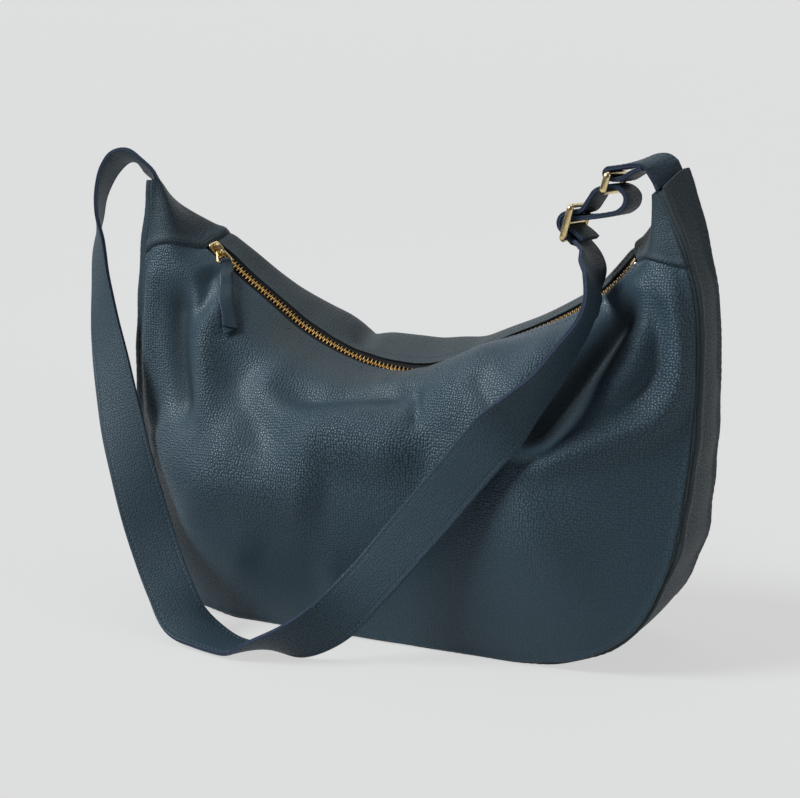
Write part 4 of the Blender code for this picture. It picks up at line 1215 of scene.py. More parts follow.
    def surfaces(self) -> tuple[Array, dict[Side, Array], dict[Side, Array]]:
        """The good side of the leather all round the bag.

        Returns:
            The gusset's points, each side's points, and each side's distances from its seam.
        """
        seam = self.form.seam
        gusset, gusset_far = self.form.gusset(self.gusset_columns)
        dents = (ripple(seam.along, 46 * MM, 21)[:, None] * self.gusset_dent
                 * ease(gusset_far / (12 * MM)) * ease(seam.middle[:, 2:] / 0.06))
        gusset_normals = self.gusset_normals(gusset)
        high = ease((seam.middle[:, 2:] - 0.04) / 0.05)
        rolled = self.gusset_roll * hill(gusset_far - 4.6 * MM, 3.2 * MM) * high
        lift = self.pucker(gusset_far, 11) + dents + rolled
        gusset = gusset + gusset_normals * lift[..., None]
        middle = self.gusset_columns // 2
        grids: dict[Side, Array] = {}
        fars: dict[Side, Array] = {}
        for side, edge, half in ((Side.FRONT, 0, slice(None, middle + 1)),
                                 (Side.BACK, -1, slice(middle, None))):
            grid, far = self.form.flank(side, self.columns)
            if side is Side.FRONT:
                self.straighten_caps(grid, far)
            self.skins[side] = flat_skin(grid)
            normals = grid_normals(grid) * side.value
            groove = self.seam_ways(normals[:, 1], gusset_normals[:, edge])
            grid = self.folded(side, grid, far)
            grid = grid + groove[:, None] * self.roll(far)[..., None]
            gusset[:, half] += groove[:, None] * self.roll(gusset_far[:, half])[..., None]
            if side is Side.FRONT:
                slide = self.seam_slide * (seam.middle[:, :1] < 0) * high * ease(
                    (self.slide_top - seam.middle[:, 2:]) / 0.03)
                grid[..., 0] += slide * (1 - ease(far / (14 * MM)))
                gusset[:, half, 0] += slide * (1 - ease(gusset_far[:, half] / (6 * MM)))
            grids[side], fars[side] = grid, far
        for grid in (gusset, *grids.values()):
            self.soften_tips(grid)
            grid[..., 2] = np.maximum(grid[..., 2], 0.0)
        return gusset, grids, fars

    def build(self) -> None:
        """Makes the leather pieces."""
        seam = self.form.seam
        gusset, grids, fars = self.surfaces()
        self.front = grids[Side.FRONT]
        for side, name in ((Side.FRONT, "front_panel"), (Side.BACK, "back_panel")):
            piece = self.panel(f"leather_{name}", side, grids[side], fars[side])
            hand_over(piece, Slot.LEATHER, Body.BAG, name)
        for name, rows in (("horn_cap_left", slice(0, seam.first + 1)),
                           ("horn_cap_right", slice(seam.last, None))):
            piece = self.cap(f"leather_{name}", grids, fars, rows)
            hand_over(piece, Slot.LEATHER, Body.BAG, name)
        hand_over(self.gusset_piece(gusset), Slot.LEATHER, Body.BAG, "gusset")

    def over_front(self, spot: Array, lift: float) -> tuple[Array, Array]:
        """A point over the front panel at a place (x, z), and the panel's normal there."""
        grid = self.front[:, self.columns // 2:]
        gap = np.linalg.norm(grid[..., (0, 2)] - spot, axis=-1)
        row, column = np.unravel_index(np.argmin(gap), gap.shape)
        normal = unit(grid_normals(grid[row - 3:row + 4])[:, column - 3:column + 4].sum((0, 1)))
        point = grid[row, column].copy()
        step = spot - point[[0, 2]]
        point[[0, 2]] = spot
        point[1] -= (normal[0] * step[0] + normal[2] * step[1]) / normal[1]
        return point + normal * lift, normal

    def straighten_caps(self, grid: Array, far: Array) -> None:
        """Slides the front's rows so that the caps' seams run straight from seam to mouth."""
        seam = self.form.seam
        for edge, at_seam, middle in ((seam.first, 0.0, -self.cap_bow),
                                      (seam.last, self.cap_shift, self.cap_bow)):
            near = hill(seam.along - seam.along[edge], self.cap_reach)
            shares = far[edge] / far[edge, -1]
            slides = at_seam * (1 - shares) + middle * np.sin(math.pi * shares)
            for column, slide in enumerate(slides):
                places = seam.along + slide * near
                far[:, column] = np.interp(places, seam.along, far[:, column])
                for axis in range(3):
                    grid[:, column, axis] = np.interp(places, seam.along, grid[:, column, axis])

    def soften_tips(self, grid: Array) -> None:
        """Rounds the corners at the horns' tips."""
        seam = self.form.seam
        for tip, inside in ((0, self.tip_rows), (-1, -1 - self.tip_rows)):
            down = unit(seam.middle[inside] - seam.middle[tip])
            for way, (depth, reach) in ((1, self.tip_front), (-1, self.tip_back)):
                corner = seam.middle[tip] + way * seam.cross[tip] * seam.half[tip]
                gap = np.linalg.norm(grid - corner, axis=-1)
                inwards = unit(down - self.tip_lean * way * seam.cross[tip])
                grid += inwards * (depth * np.clip(1 - gap / reach, 0, 1) ** 1.5)[..., None]

    def grain(self, height: Array, mouth: Array, lift: Array) -> Array:
        """How strong the pebbles, their painted highlights and their painted crease shade are:
        most on ridges, less low down and near the mouth.
        """
        low = 0.45 + 0.55 * ease((height - 0.035) / 0.085)
        ridge = 0.62 + 0.38 * np.clip(lift / (7 * MM), -1, 1)
        return low * ridge * (0.35 + 0.65 * ease((mouth - 9 * MM) / (34 * MM)))

    def wear_and_sheen(self, side: Side, across: Array, mouth: Array) -> Array:
        """How grey and smooth the leather is, by x and by distance from the mouth: wear, with a
        painted sheen near the mouth.
        """
        if side is Side.BACK:
            return 0.9 * (1 - ease((mouth - 25 * MM) / (45 * MM)))
        middle = ease((across + 0.135) / 0.05) * (1 - ease((across - 0.03) / 0.06))
        return 0.8 * middle * (1 - ease((mouth - 14 * MM) / (30 * MM)))

    def painted_shade(self, lift: Array) -> Array:
        """Painted shade in the deep folds: how dark the leather is painted, by how far they lie
        in.
        """
        return self.deepest_painted_shade * ease((-lift - 1.0 * MM) / (12 * MM))

    def note_looks(self, piece: Piece, grain: float, wear_and_sheen: Any) -> None:
        """Gives a whole piece its strength of grain and its wear and painted sheen, as one number
        or as many, and an even painted shade.
        """
        count = len(piece.data.vertices)
        for name, value in (("grain", grain), ("wear_and_sheen", wear_and_sheen), ("painted_shade", self.plain_painted_shade)):
            note_values(piece, name, np.broadcast_to(np.ravel(value), count))

    def sewn(self, name: str, line: Array, normals: Array) -> None:
        """A row of small stitches along a line on the leather."""
        collector = Collector()
        sew(collector, line + normals * 0.05 * MM, normals,
            unit(np.cross(normals, ways_along(line))), 2.9 * MM, 2.1 * MM, 0.24 * MM)
        hand_over(collector.piece(name, self.finishes.thread), Slot.LEATHER, Body.BAG)

    def panel(self, name: str, side: Side, grid: Array, far: Array) -> Piece:
        """A panel between the cap seams, with its edge folded at the mouth."""
        seam = self.form.seam
        rows = slice(seam.first, seam.last + 1)
        outer = grid[rows]
        normals = grid_normals(outer) * side.value
        inner = outer - normals * self.form.leather
        lip = []
        ways = unit(outer[:, -1] - outer[:, -3])
        for turn in (35, 90, 145):
            angle = math.radians(turn)
            lip.append((outer[:, -1] + inner[:, -1]) / 2
                       + (normals[:, -1] * math.cos(angle) + ways * math.sin(angle) * 0.9)
                       * self.form.leather / 2)
        lip = np.stack(lip, axis=1)
        piece = shell_piece(name, outer, inner, lip, [self.finishes.leather])
        mouth = (far[:, -1:] - far)[rows]
        lift = self.lifts[side][rows]
        for note, values in (("grain", self.grain(outer[..., 2], mouth, lift)),
                             ("wear_and_sheen", self.wear_and_sheen(side, outer[..., 0], mouth)),
                             ("painted_shade", self.painted_shade(lift))):
            note_values(piece, note, both_faces(values, lip.shape[1]))
        note_skin(piece, both_faces(self.skins[side][rows], lip.shape[1]))
        column = np.argmin(np.abs(mouth - self.hem), axis=1)
        numbers = np.arange(len(mouth))
        self.sewn(f"{name}_hem_stitches", outer[numbers, column], normals[numbers, column])
        return piece

    def cap(self, name: str, grids: dict[Side, Array], fars: dict[Side, Array],
            rows: slice) -> Piece:
        """A horn's cap, in one piece over the ridge."""
        front, back = grids[Side.FRONT][rows], grids[Side.BACK][rows]
        outer = np.concatenate((front[:, :-1], (front[:, -1:] + back[:, -1:]) / 2,
                                back[:, -2::-1]), axis=1)
        normals = grid_normals(outer)
        inner = outer - normals * self.form.leather
        piece = shell_piece(name, outer, inner, None, [self.finishes.leather])
        front_far, back_far = fars[Side.FRONT][rows], fars[Side.BACK][rows]
        ridge = front_far[:, -1:]
        across = np.hstack((front_far, ridge + back_far[:, -1:] - back_far[:, -2::-1]))
        self.lay_skin(piece, rows, across)
        self.note_looks(piece, self.cap_grain, self.cap_wear_and_sheen)
        row = self.cap_stitch_row if rows.start else len(outer) - 1 - self.cap_stitch_row
        span = slice(self.cap_stitch_margin, -self.cap_stitch_margin)
        self.sewn(f"{name}_stitches", outer[row, span], normals[row, span])
        return piece

    def lay_skin(self, piece: Piece, rows: slice, across: Array) -> None:
        """Lays a shell's grain along the seam and across it."""
        along = np.broadcast_to(self.form.seam.along[rows][:, None], across.shape)
        note_skin(piece, both_faces(np.stack((along, across), axis=-1)))

    def gusset_piece(self, gusset: Array) -> Piece:
        """The gusset, from horn to horn under the bag."""
        seam = self.form.seam
        inner = gusset - self.gusset_normals(gusset) * self.form.leather
        inner[..., 2] = np.maximum(inner[..., 2], gusset[..., 2] + self.floor_gap
                                   * (gusset[..., 2] < 1 * MM))
        piece = shell_piece("leather_gusset", gusset, inner, None, [self.finishes.leather])
        across = np.linspace(-1, 1, gusset.shape[1]) * seam.half[:, None]
        self.lay_skin(piece, slice(None), across)
        # Greyer towards +x, from wear and painted sheen.
        wear_and_sheen = 0.15 + 0.70 * ease((gusset[..., 0] + 0.10) / 0.20)
        self.note_looks(piece, self.gusset_grain, both_faces(wear_and_sheen))
        return piece


# Zip.


@dataclass
class ZipWork:
    """Tapes, teeth and stops of the zip."""

    form: BagForm
    finishes: Finishes
    tape_half: float = 13.0 * MM
    tape_edge: float = 2.6 * MM
    tape_thickness: float = 0.7 * MM
    sunk: float = 2.3 * MM
    tape_step: float = 2.2 * MM
    pitch: float = 3.1 * MM
    tooth_length: float = 1.35 * MM
    tooth_height: float = 2.3 * MM
    tooth_slant: float = 0.16
    first_tooth_x: float = -0.1462
    end_room: float = 7.2 * MM
    stop_place: float = 6.2 * MM
    stop_length: float = 5.2 * MM
    stop_half: float = 3.9 * MM

    @staticmethod
    def soft_corners(wide: float, high: float) -> tuple[tuple[float, float], ...]:
        """A square section with its corners cut, from where each side is still straight."""
        return ((-1, -high), (-wide, -1), (wide, -1), (1, -high), (1, high), (wide, 1),
                (-wide, 1), (-1, high))

    def band(self, place: float, side: Side) -> tuple[Array, Array, Array, Array]:
        """The chain at a distance: point, way along, way to a side and way up."""
        points, along, front, back = self.form.zip_line.frames(np.array([place]))
        across = front[0] if side is Side.FRONT else back[0]
        level = unit(front[0] - back[0])
        upright = unit(np.cross(level, along[0]))
        up = unit(np.cross(across, along[0])) * side.value
        return points[0] - upright * self.sunk, along[0], across, up

    def build(self) -> None:
        """Makes the tapes, the teeth and the stops."""
        for side, name in ((Side.FRONT, "front"), (Side.BACK, "back")):
            self.tape(side, name)
            self.teeth(side, name)
            self.top_stop(side, name)
        self.bottom_stop()

    def tape(self, side: Side, name: str) -> None:
        """One woven tape with the cord along its edge."""
        rings = []
        for place in np.arange(0, self.form.zip_line.length, self.tape_step):
            origin, _, across, up = self.band(place, side)
            half = self.tape_thickness / 2
            cord = [(self.tape_edge + 0.55 * MM * (1 - math.cos(math.radians(turn))),
                     0.75 * MM * math.sin(math.radians(turn)))
                    for turn in (-75, -40, 0, 40, 75)]
            profile = cord + [(self.tape_edge + 1.3 * MM, half), (self.tape_half * 0.6, half),
                              (self.tape_half, half), (self.tape_half, -half),
                              (self.tape_half * 0.6, -half), (self.tape_edge + 1.3 * MM, -half)]
            rings.append(laid(origin, across, up, profile))
        piece = Collector().add_tube(rings).piece(f"woven_tape_{name}", self.finishes.tape)
        hand_over(piece, Slot.TAPE, Body.BAG, f"zip_tape_{name}")

    def tooth_rings(self, place: float, side: Side) -> Array:
        """Rings of one tooth: a rounded head past the middle, and legs on the cord."""
        origin, along, across, up = self.band(place, side)
        slant = unit(across + along * self.tooth_slant * side.value)
        stations = ((-1.15, 0.30, 0.52), (-1.0, 0.62, 0.80), (-0.5, 0.92, 0.98), (0.3, 1.0, 1.0),
                    (1.4, 0.98, 1.0), (2.3, 0.90, 0.96), (3.0, 0.72, 0.86), (3.25, 0.40, 0.60))
        rings = []
        for out, wide, high in stations:
            half_long = self.tooth_length / 2 * wide
            half_high = self.tooth_height / 2 * high
            rings.append(laid(origin + slant * out * MM, along * half_long, up * half_high,
                              self.soft_corners(0.55, 0.55)))
        return np.array(rings)

    def teeth(self, side: Side, name: str) -> None:
        """One row of teeth, between the slider and the bottom stop."""
        line = self.form.zip_line
        first = line.place_at(self.first_tooth_x)
        if side is Side.BACK:
            first += self.pitch / 2
        collector = Collector()
        for place in np.arange(first, line.length - self.end_room, self.pitch):
            collector.add_tube(self.tooth_rings(place, side))
        piece = collector.piece(f"brass_teeth_{name}", self.finishes.tooth, 35.0)
        hand_over(piece, Slot.TEETH, Body.BAG, f"zip_teeth_{name}")

    def block(self, place: float, length: float, near: float, far: float,
              side: Side) -> Array:
        """Rings of a stop with soft corners, across the chain."""
        rings = []
        for share, scale in ((0.0, 0.80), (0.10, 1.0), (0.90, 1.0), (1.0, 0.80)):
            origin, _, across, up = self.band(place + length * share, side)
            middle, half = (near + far) / 2, (far - near) / 2 * scale
            high = self.tooth_height / 2 * 1.08 * scale
            rings.append([origin + across * (middle + half * first) + up * high * second
                          for first, second in self.soft_corners(0.8, 0.6)])
        return np.array(rings)

    def top_stop(self, side: Side, name: str) -> None:
        """The small stop at a tape's upper end."""
        rings = self.block(0.6 * MM, 1.3 * MM, 0.6 * MM, 2.8 * MM, side)
        piece = Collector().add_tube(rings).piece(f"brass_top_stop_{name}", self.finishes.brass)
        hand_over(piece, Slot.BRASS, Body.BAG, f"zip_top_stop_{name}")

    def bottom_stop(self) -> None:
        """The square stop that joins both tapes."""
        rings = self.block(self.form.zip_line.length - self.stop_place, self.stop_length,
                           -self.stop_half, self.stop_half, Side.FRONT)
        piece = Collector().add_tube(rings).piece("brass_bottom_stop", self.finishes.brass)
        hand_over(piece, Slot.BRASS, Body.BAG, "zip_bottom_stop")


# Straps and their fittings.


def facing_frames(points: Array, widths: Array) -> tuple[Array, Array]:
    """Widths made square to a line, and the normals of a strip that they span."""
    along = ways_along(points)
    widths = unit(widths - along * np.sum(widths * along, axis=1, keepdims=True))
    return widths, np.cross(along, widths)


def strap_profile(half: float, thick: float) -> tuple[Array, list[int]]:
    """Cross-section of two sewn plies, and for each of its sides the finish.

    Args:
        half: Half of the strap's width.
        thick: Thickness over both plies.

    Returns:
        Places (across, up) around the section, and the finish from each to the next: 0 for
        the outer face, 1 for the cut edge and 2 for the inner face.
    """
    face = []
    for share, lift in ((1.0, -0.34), (0.975, -0.10), (0.93, 0.0), (0.865, -0.03),
                        (0.835, -0.20), (0.80, -0.04), (0.70, 0.05), (0.45, 0.13), (0.2, 0.17)):
        face.append((share * half, thick / 2 + lift * MM))
    face = mirrored(face)
    edge = [(-half * 1.005, 0.55 * MM), (-half * 0.990, 0.0), (-half * 1.005, -0.55 * MM)]
    back = [(out, -up) for out, up in face[::-1]]
    other = [(half * 1.005, -0.55 * MM), (half * 0.990, 0.0), (half * 1.005, 0.55 * MM)]
    section = np.array(face + edge + back + other)
    count = len(face)
    finishes = [0] * (count - 1) + [1] * 4 + [2] * (count - 1) + [1] * 4
    return section, finishes


@dataclass
class StrapLine:
    """A strap's middle line with the way its width runs.

    Args:
        stations: Points with their widths' ways.
        half: Half of the strap's width.
        thick: Thickness over both plies.
        steps: Steps between two stations.
        stitch_share: Where the stitches run, as a share of the way to the edge.
    """

    stations: Sequence[tuple[Array, Array]]
    half: float
    thick: float
    steps: int = 10
    stitch_share: float = 0.835
    points: Array = field(init=False)
    widths: Array = field(init=False)
    normals: Array = field(init=False)

    def __post_init__(self) -> None:
        """Lays the smooth line and turns its widths square to it."""
        points, widths = curve_through([point for point, _ in self.stations], self.steps,
                                       [width for _, width in self.stations])
        self.points = points
        self.widths, self.normals = facing_frames(points, widths)

    def over(self, rows: slice) -> list[Array]:
        """The points, widths and normals of some rows."""
        return [part[rows] for part in (self.points, self.widths, self.normals)]

    def rings(self, rows: slice) -> tuple[Array, list[int]]:
        """Rings of the strap's section over some of its points, and the sides' finishes."""
        section, finishes = strap_profile(self.half, self.thick)
        points, widths, normals = self.over(rows)
        wander = ripple(lengths_along(self.points), 55 * MM, 5)[rows] * 0.35 * MM
        rings = (points[:, None] + widths[:, None] * section[None, :, :1]
                 + normals[:, None] * section[None, :, 1:]
                 + widths[:, None] * wander[:, None, None] * np.sign(section[None, :, :1]))
        return rings, finishes

    def piece(self, name: str, rows: slice,
              materials: Sequence[Material]) -> Piece:
        """One piece of the strap.

        Args:
            name: The piece's name.
            rows: Which of the strap's points it runs over.
            materials: Finishes of the outer face, the cut edge and the inner face.

        Returns:
            The object.
        """
        rings, finishes = self.rings(rows)
        faces = tube_faces(len(rings), rings.shape[1], closed=False)
        numbers = finishes * (len(rings) - 1) + [1, 1]
        piece = make_piece(name, rings, faces, materials, numbers, sharp=38.0)
        around = lengths_along(strap_profile(self.half, self.thick)[0])
        along = lengths_along(self.points)[rows]
        note_skin(piece, np.stack(np.meshgrid(along, around, indexing="ij"), axis=-1))
        return piece

    def stitches(self, collector: Collector, rows: slice) -> None:
        """Adds stitches along both edges of both faces."""
        points, widths, normals = self.over(rows)
        for side in (-1, 1):
            for face in (-1, 1):
                line = (points + widths * side * self.stitch_share * self.half
                        + normals * face * (self.thick / 2 - 0.20 * MM))
                sew(collector, line, normals * face, widths)


def sew(collector: Collector, line: Array, normals: Array, widths: Array,
        pitch: float = 3.4 * MM, length: float = 2.5 * MM, radius: float = 0.30 * MM) -> None:
    """Adds a row of stitches along a line on leather.

    Args:
        collector: Where the stitches go.
        line: The line on the leather.
        normals: The leather's normals along it.
        widths: The ways beside the line.
        pitch: From one stitch to the next.
        length: One stitch's length.
        radius: The thread's radius.
    """
    along = lengths_along(line)
    turns = np.linspace(0, 2 * math.pi, 6, endpoint=False)
    for start in np.arange(pitch * 0.4, along[-1] - length, pitch):
        rings = []
        for share, wide, lift in ((0.0, 0.55, -0.8), (0.18, 1.0, 0.15), (0.5, 1.08, 0.35),
                                  (0.82, 1.0, 0.15), (1.0, 0.55, -0.8)):
            place = start + length * share
            middle, normal, width = (
                np.array([np.interp(place, along, column) for column in values.T])
                for values in (line, normals, widths))
            rings.append([middle + normal * radius * (lift + wide * math.sin(turn))
                          + width * radius * wide * math.cos(turn) for turn in turns])
        collector.add_tube(np.array(rings))


@dataclass(frozen=True)
class Fittings:
    """Sizes and places of the ring and the slide, flat in the bag's middle plane."""

    strap_width: float = 32.0 * MM
    bar_radius: float = 1.4 * MM
    slide_length: float = 25.0 * MM
    ring_length: float = 15.0 * MM
    edge_clearance: float = 1.0 * MM
    corner: float = 2.6 * MM
    slide_place: tuple[float, float] = (0.118611, 0.280578)
    ring_place: tuple[float, float] = (0.143244, 0.305818)
    slide_lean: float = math.radians(14)
    ring_lean: float = math.radians(15)
    layer_gap: float = 0.3 * MM

    @property
    def side_reach(self) -> float:
        """From the middle plane to the middle of a side bar."""
        return self.strap_width / 2 + self.edge_clearance + self.bar_radius

    def ring_bars(self) -> tuple[Array, Array]:
        """Middles of the ring's upper and lower bar, as (x, z)."""
        up = np.array((math.sin(self.ring_lean), math.cos(self.ring_lean)))
        reach = self.ring_length / 2 - self.bar_radius
        centre = np.array(self.ring_place)
        return centre + up * reach, centre - up * reach

    def wrap_radius(self, thick: float, layer: int) -> float:
        """Radius of a strap's middle round a bar: the first layer is 0, the next is 1."""
        first = self.bar_radius + self.layer_gap + thick / 2
        return first + layer * (thick + self.layer_gap)


def flat_place(place: Array) -> Array:
    """A flat place (x, z) as a point in the bag's middle plane."""
    return np.array((place[0], 0.0, place[1]))


def arc_points(centre: Array, radius: float, start: float, end: float, count: int) -> Array:
    """Flat points on an arc, angles in degrees from the first axis."""
    turns = np.radians(np.linspace(start, end, count))
    return np.asarray(centre) + radius * np.column_stack((np.cos(turns), np.sin(turns)))


@dataclass
class Straps:
    """The long strap with its folds through the fittings, and the short strap."""

    form: BagForm
    finishes: Finishes
    fittings: Fittings = field(default_factory=Fittings)
    thick: float = 2.9 * MM
    in_horn: float = 6.0 * MM
    horn_rise: float = 1.5 * MM
    tail: float = 11.5 * MM
    tail_drop: float = 3.5 * MM
    arch_mm: tuple[tuple[float, ...], ...] = (
        (-214.7, 0.0, 313.9, -0.46, 0.83, -0.3), (-221.9, 0.0, 319.1, -0.36, 0.86, -0.3),
        (-232.3, 0.0, 319.1, -0.28, 0.92, -0.26), (-243.6, -0.8, 309.7, -0.26, 0.95, -0.18),
        (-248.4, -5.3, 293.9, -0.39, 0.9, -0.21), (-247.6, -10.1, 277.2, -0.47, 0.84, -0.27),
        (-244.7, -15.3, 256.0, -0.73, 0.63, -0.29), (-238.9, -22.4, 228.8, -0.79, 0.47, -0.39),
        (-228.3, -33.5, 200.6, -0.86, 0.2, -0.47), (-212.0, -48.0, 168.8, -0.9, -0.05, -0.43),
        (-189.9, -65.2, 124.2, -0.88, -0.36, -0.32), (-171.4, -77.0, 90.0, -0.77, -0.59, -0.24),
        (-152.4, -87.3, 57.6, -0.74, -0.62, -0.27), (-132.7, -97.7, 31.2, -0.86, -0.49, -0.09),
        (-116.9, -104.5, 14.2, -0.7, -0.69, -0.14), (-97.9, -107.1, 5.8, -0.38, -0.92, -0.07),
        (-82.0, -110.2, 3.0, -0.14, -0.99, -0.0), (-67.9, -112.3, 3.0, -0.08, -0.99, 0.06),
        (-49.7, -114.4, 8.2, -0.14, -0.9, 0.42), (-26.9, -113.4, 14.6, -0.22, -0.58, 0.78),
        (-6.2, -105.0, 27.3, -0.52, -0.37, 0.77), (14.1, -96.7, 50.0, -0.76, -0.04, 0.65),
        (46.0, -88.4, 90.0, -0.78, 0.03, 0.62), (70.0, -85.3, 120.0, -0.78, -0.05, 0.63),
        (94.0, -81.1, 150.0, -0.75, -0.18, 0.64), (112.6, -75.6, 172.1, -0.4, -0.78, 0.49),
        (125.6, -68.3, 188.5, -0.22, -0.92, 0.3), (134.8, -57.6, 206.3, -0.06, -0.95, 0.25),
        (141.0, -49.8, 219.4, 0.04, -0.96, 0.2), (144.2, -45.6, 230.6, 0.08, -0.94, 0.26),
        (142.2, -36.8, 241.5, 0.02, -0.88, 0.42), (137.4, -25.8, 248.8, -0.03, -0.9, 0.4),
        (133.0, -11.9, 256.3, -0.0, -0.98, 0.15), (127.3, -2.1, 263.0, -0.0, -1.0, -0.0))
    upper_leg: tuple[tuple[float, float], ...] = ((0.36, 0.42), (0.56, 0.74), (0.76, 1.06))
    teardrop: tuple[tuple[float, float], ...] = (
        (1.25, 1.20), (1.46, 1.09), (1.60, 0.87), (1.57, 0.60), (1.40, 0.40), (1.06, 0.29),
        (0.68, 0.21), (0.34, 0.17))
    short_top_mm: tuple[tuple[float, float], ...] = (
        (175.3, 314.2), (172.2, 317.6), (166.4, 319.2), (159.0, 318.0), (151.1, 315.6))
    short_under_mm: tuple[tuple[float, float], ...] = (
        (151.1, 308.2), (158.5, 312.2), (165.2, 315.1))

    def horn_entry(self, row: int) -> list[tuple[Array, Array]]:
        """The strap's stations inside a horn and just above it."""
        seam = self.form.seam
        outward, cross = seam.outward[row], seam.cross[row]
        gap = np.abs(seam.along - seam.along[row])
        deep = int(np.argmin(np.abs(gap - self.in_horn)))
        down = unit(seam.middle[deep] - seam.middle[row])
        inside = seam.middle[deep] - seam.outward[deep] * self.form.horn_mouth / 2
        mouth = seam.middle[row] - outward * self.form.horn_mouth / 2 - down * self.horn_rise
        return [(inside, seam.cross[deep]), (mouth, cross)]

    def free_run(self) -> list[tuple[Array, Array]]:
        """Stations from the arch over the left horn to the slide."""
        return [(np.array(row[:3]) * MM, unit(np.array(row[3:]))) for row in self.arch_mm]

    def hardware_run(self) -> list[tuple[Array, Array]]:
        """Stations through slide and ring and back to the sewn tail."""
        centre = np.array(self.fittings.slide_place)
        _, low_bar = self.fittings.ring_bars()
        way = low_bar - centre
        first, second = (self.fittings.wrap_radius(self.thick, layer) for layer in (0, 1))
        over_bar = low_bar + np.array((0.0, first))
        wrap = arc_points(centre, second, -128, -262, 6)
        upper = [centre + np.array(share) * way for share in self.upper_leg]
        drop = [centre + np.array(share) * way for share in self.teardrop]
        sewn = arc_points(centre, first, 86, 250, 7)
        turn = math.radians(250)
        tail_way = np.array((-math.sin(turn), math.cos(turn)))
        tail = [sewn[-1] + tail_way * self.tail * share - (0.0, self.tail_drop * share**2)
                for share in (0.35, 0.7, 1.0)]
        places = [*wrap, *upper, over_bar, *drop, *sewn, *tail]
        return [(flat_place(place), -Y_AXIS) for place in places]

    def short_run(self) -> list[tuple[Array, Array]]:
        """Stations out of the right horn, round the ring's upper bar and back under."""
        entry = self.horn_entry(len(self.form.seam.middle) - 1)
        turns = np.linspace(0, 1, len(self.short_top_mm))
        top = [(flat_place(np.array(place) * MM), unit(between(entry[-1][1], Y_AXIS, turn)))
               for place, turn in zip(self.short_top_mm, turns)]
        radius = self.fittings.wrap_radius(self.thick, 0)
        fold = arc_points(self.fittings.ring_bars()[0], radius, 80, 262, 7)
        under = [np.array(place) * MM for place in self.short_under_mm]
        return entry + top + [(flat_place(place), Y_AXIS) for place in [*fold, *under]]

    def build(self) -> None:
        """Makes both straps with their edges and stitches."""
        looks = [self.finishes.strap_leather, self.finishes.edge, self.finishes.strap_leather]
        half = self.fittings.strap_width / 2
        long_run = self.horn_entry(0) + self.free_run() + self.hardware_run()
        self.strap("strap", StrapLine(long_run, half, self.thick), looks, 6)
        self.strap("short_strap", StrapLine(self.short_run(), half, self.thick), looks, 5)

    def strap(self, name: str, line: StrapLine, looks: list[Material],
              stations: int) -> None:
        """One strap in two pieces: the end at its horn, baked where it lies, and the rest, which
        rides on the strap's body.

        Args:
            name: Start of the pieces' names.
            line: The strap's line.
            looks: Its finishes.
            stations: How many stations the horn end takes.
        """
        split = stations * line.steps
        start = line.points[line.steps + 2]
        end = line.points[split - line.steps]
        horn_rows, main_rows = slice(None, split + 1), slice(split, None)
        for part, rows in (("horn_end", horn_rows), ("main", main_rows)):
            piece = line.piece(f"{name}_{part}", rows, looks)
            collector = Collector()
            line.stitches(collector, rows)
            thread = collector.piece(f"{name}_{part}_stitches", self.finishes.thread)
            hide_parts(f"{name}_outer_ply", f"{name}_inner_ply")
            for item in (piece, thread):
                if part == "main":
                    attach(item, Body.STRAP.value)
                else:
                    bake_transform(item)
            LOG.info("made %s", piece.name)


@dataclass
class RingAndSlide:
    """The polished ring and slide of the strap."""

    finishes: Finishes
    fittings: Fittings = field(default_factory=Fittings)
    side_height: float = 1.62
    bar_share: float = 0.9

    def frame_rings(self, centre: Array, lean: float, length: float) -> Array:
        """Rings of a rectangular wire frame whose long sides run along Y."""
        fit = self.fittings
        up = np.array((math.sin(lean), 0.0, math.cos(lean)))
        tall = length / 2 - fit.bar_radius
        wide = fit.side_reach
        corners = ((-tall, -wide), (-tall, wide), (tall, wide), (tall, -wide))
        path = rounded_path(corners, fit.corner, 10)
        points = flat_place(centre) + path[:, :1] * up + path[:, 1:] * Y_AXIS
        sides = ease((np.abs(path[:, 1]) - wide + 1.6 * MM) / (1.4 * MM))
        heights = 1 + (self.side_height - 1) * sides
        return wire_rings(points, np.cross(up, Y_AXIS), fit.bar_radius, 20, heights)

    def build(self) -> None:
        """Makes the ring and the slide."""
        fit = self.fittings
        rings = self.frame_rings(np.array(fit.ring_place), fit.ring_lean, fit.ring_length)
        ring = Collector().add_tube(rings, closed=True)
        centre = np.array(fit.slide_place)
        rings = self.frame_rings(centre, fit.slide_lean, fit.slide_length)
        slide = Collector().add_tube(rings, closed=True)
        bar = []
        for side, flare in ((-1.0, 1.25), (-0.95, 0.95), (-0.9, 0.9), (0.9, 0.9), (0.95, 0.95),
                            (1.0, 1.25)):
            circle = arc_points(centre, fit.bar_radius * flare * self.bar_share, 0, 342, 20)
            bar.append([flat_place(place) + Y_AXIS * side * fit.side_reach for place in circle])
        slide.add_tube(bar)
        brass = self.finishes.brass
        hand_over(ring.piece("polished_ring", brass), Slot.BRASS, Body.RING, "strap_ring")
        hand_over(slide.piece("polished_slide", brass), Slot.BRASS, Body.SLIDE, "strap_slide")


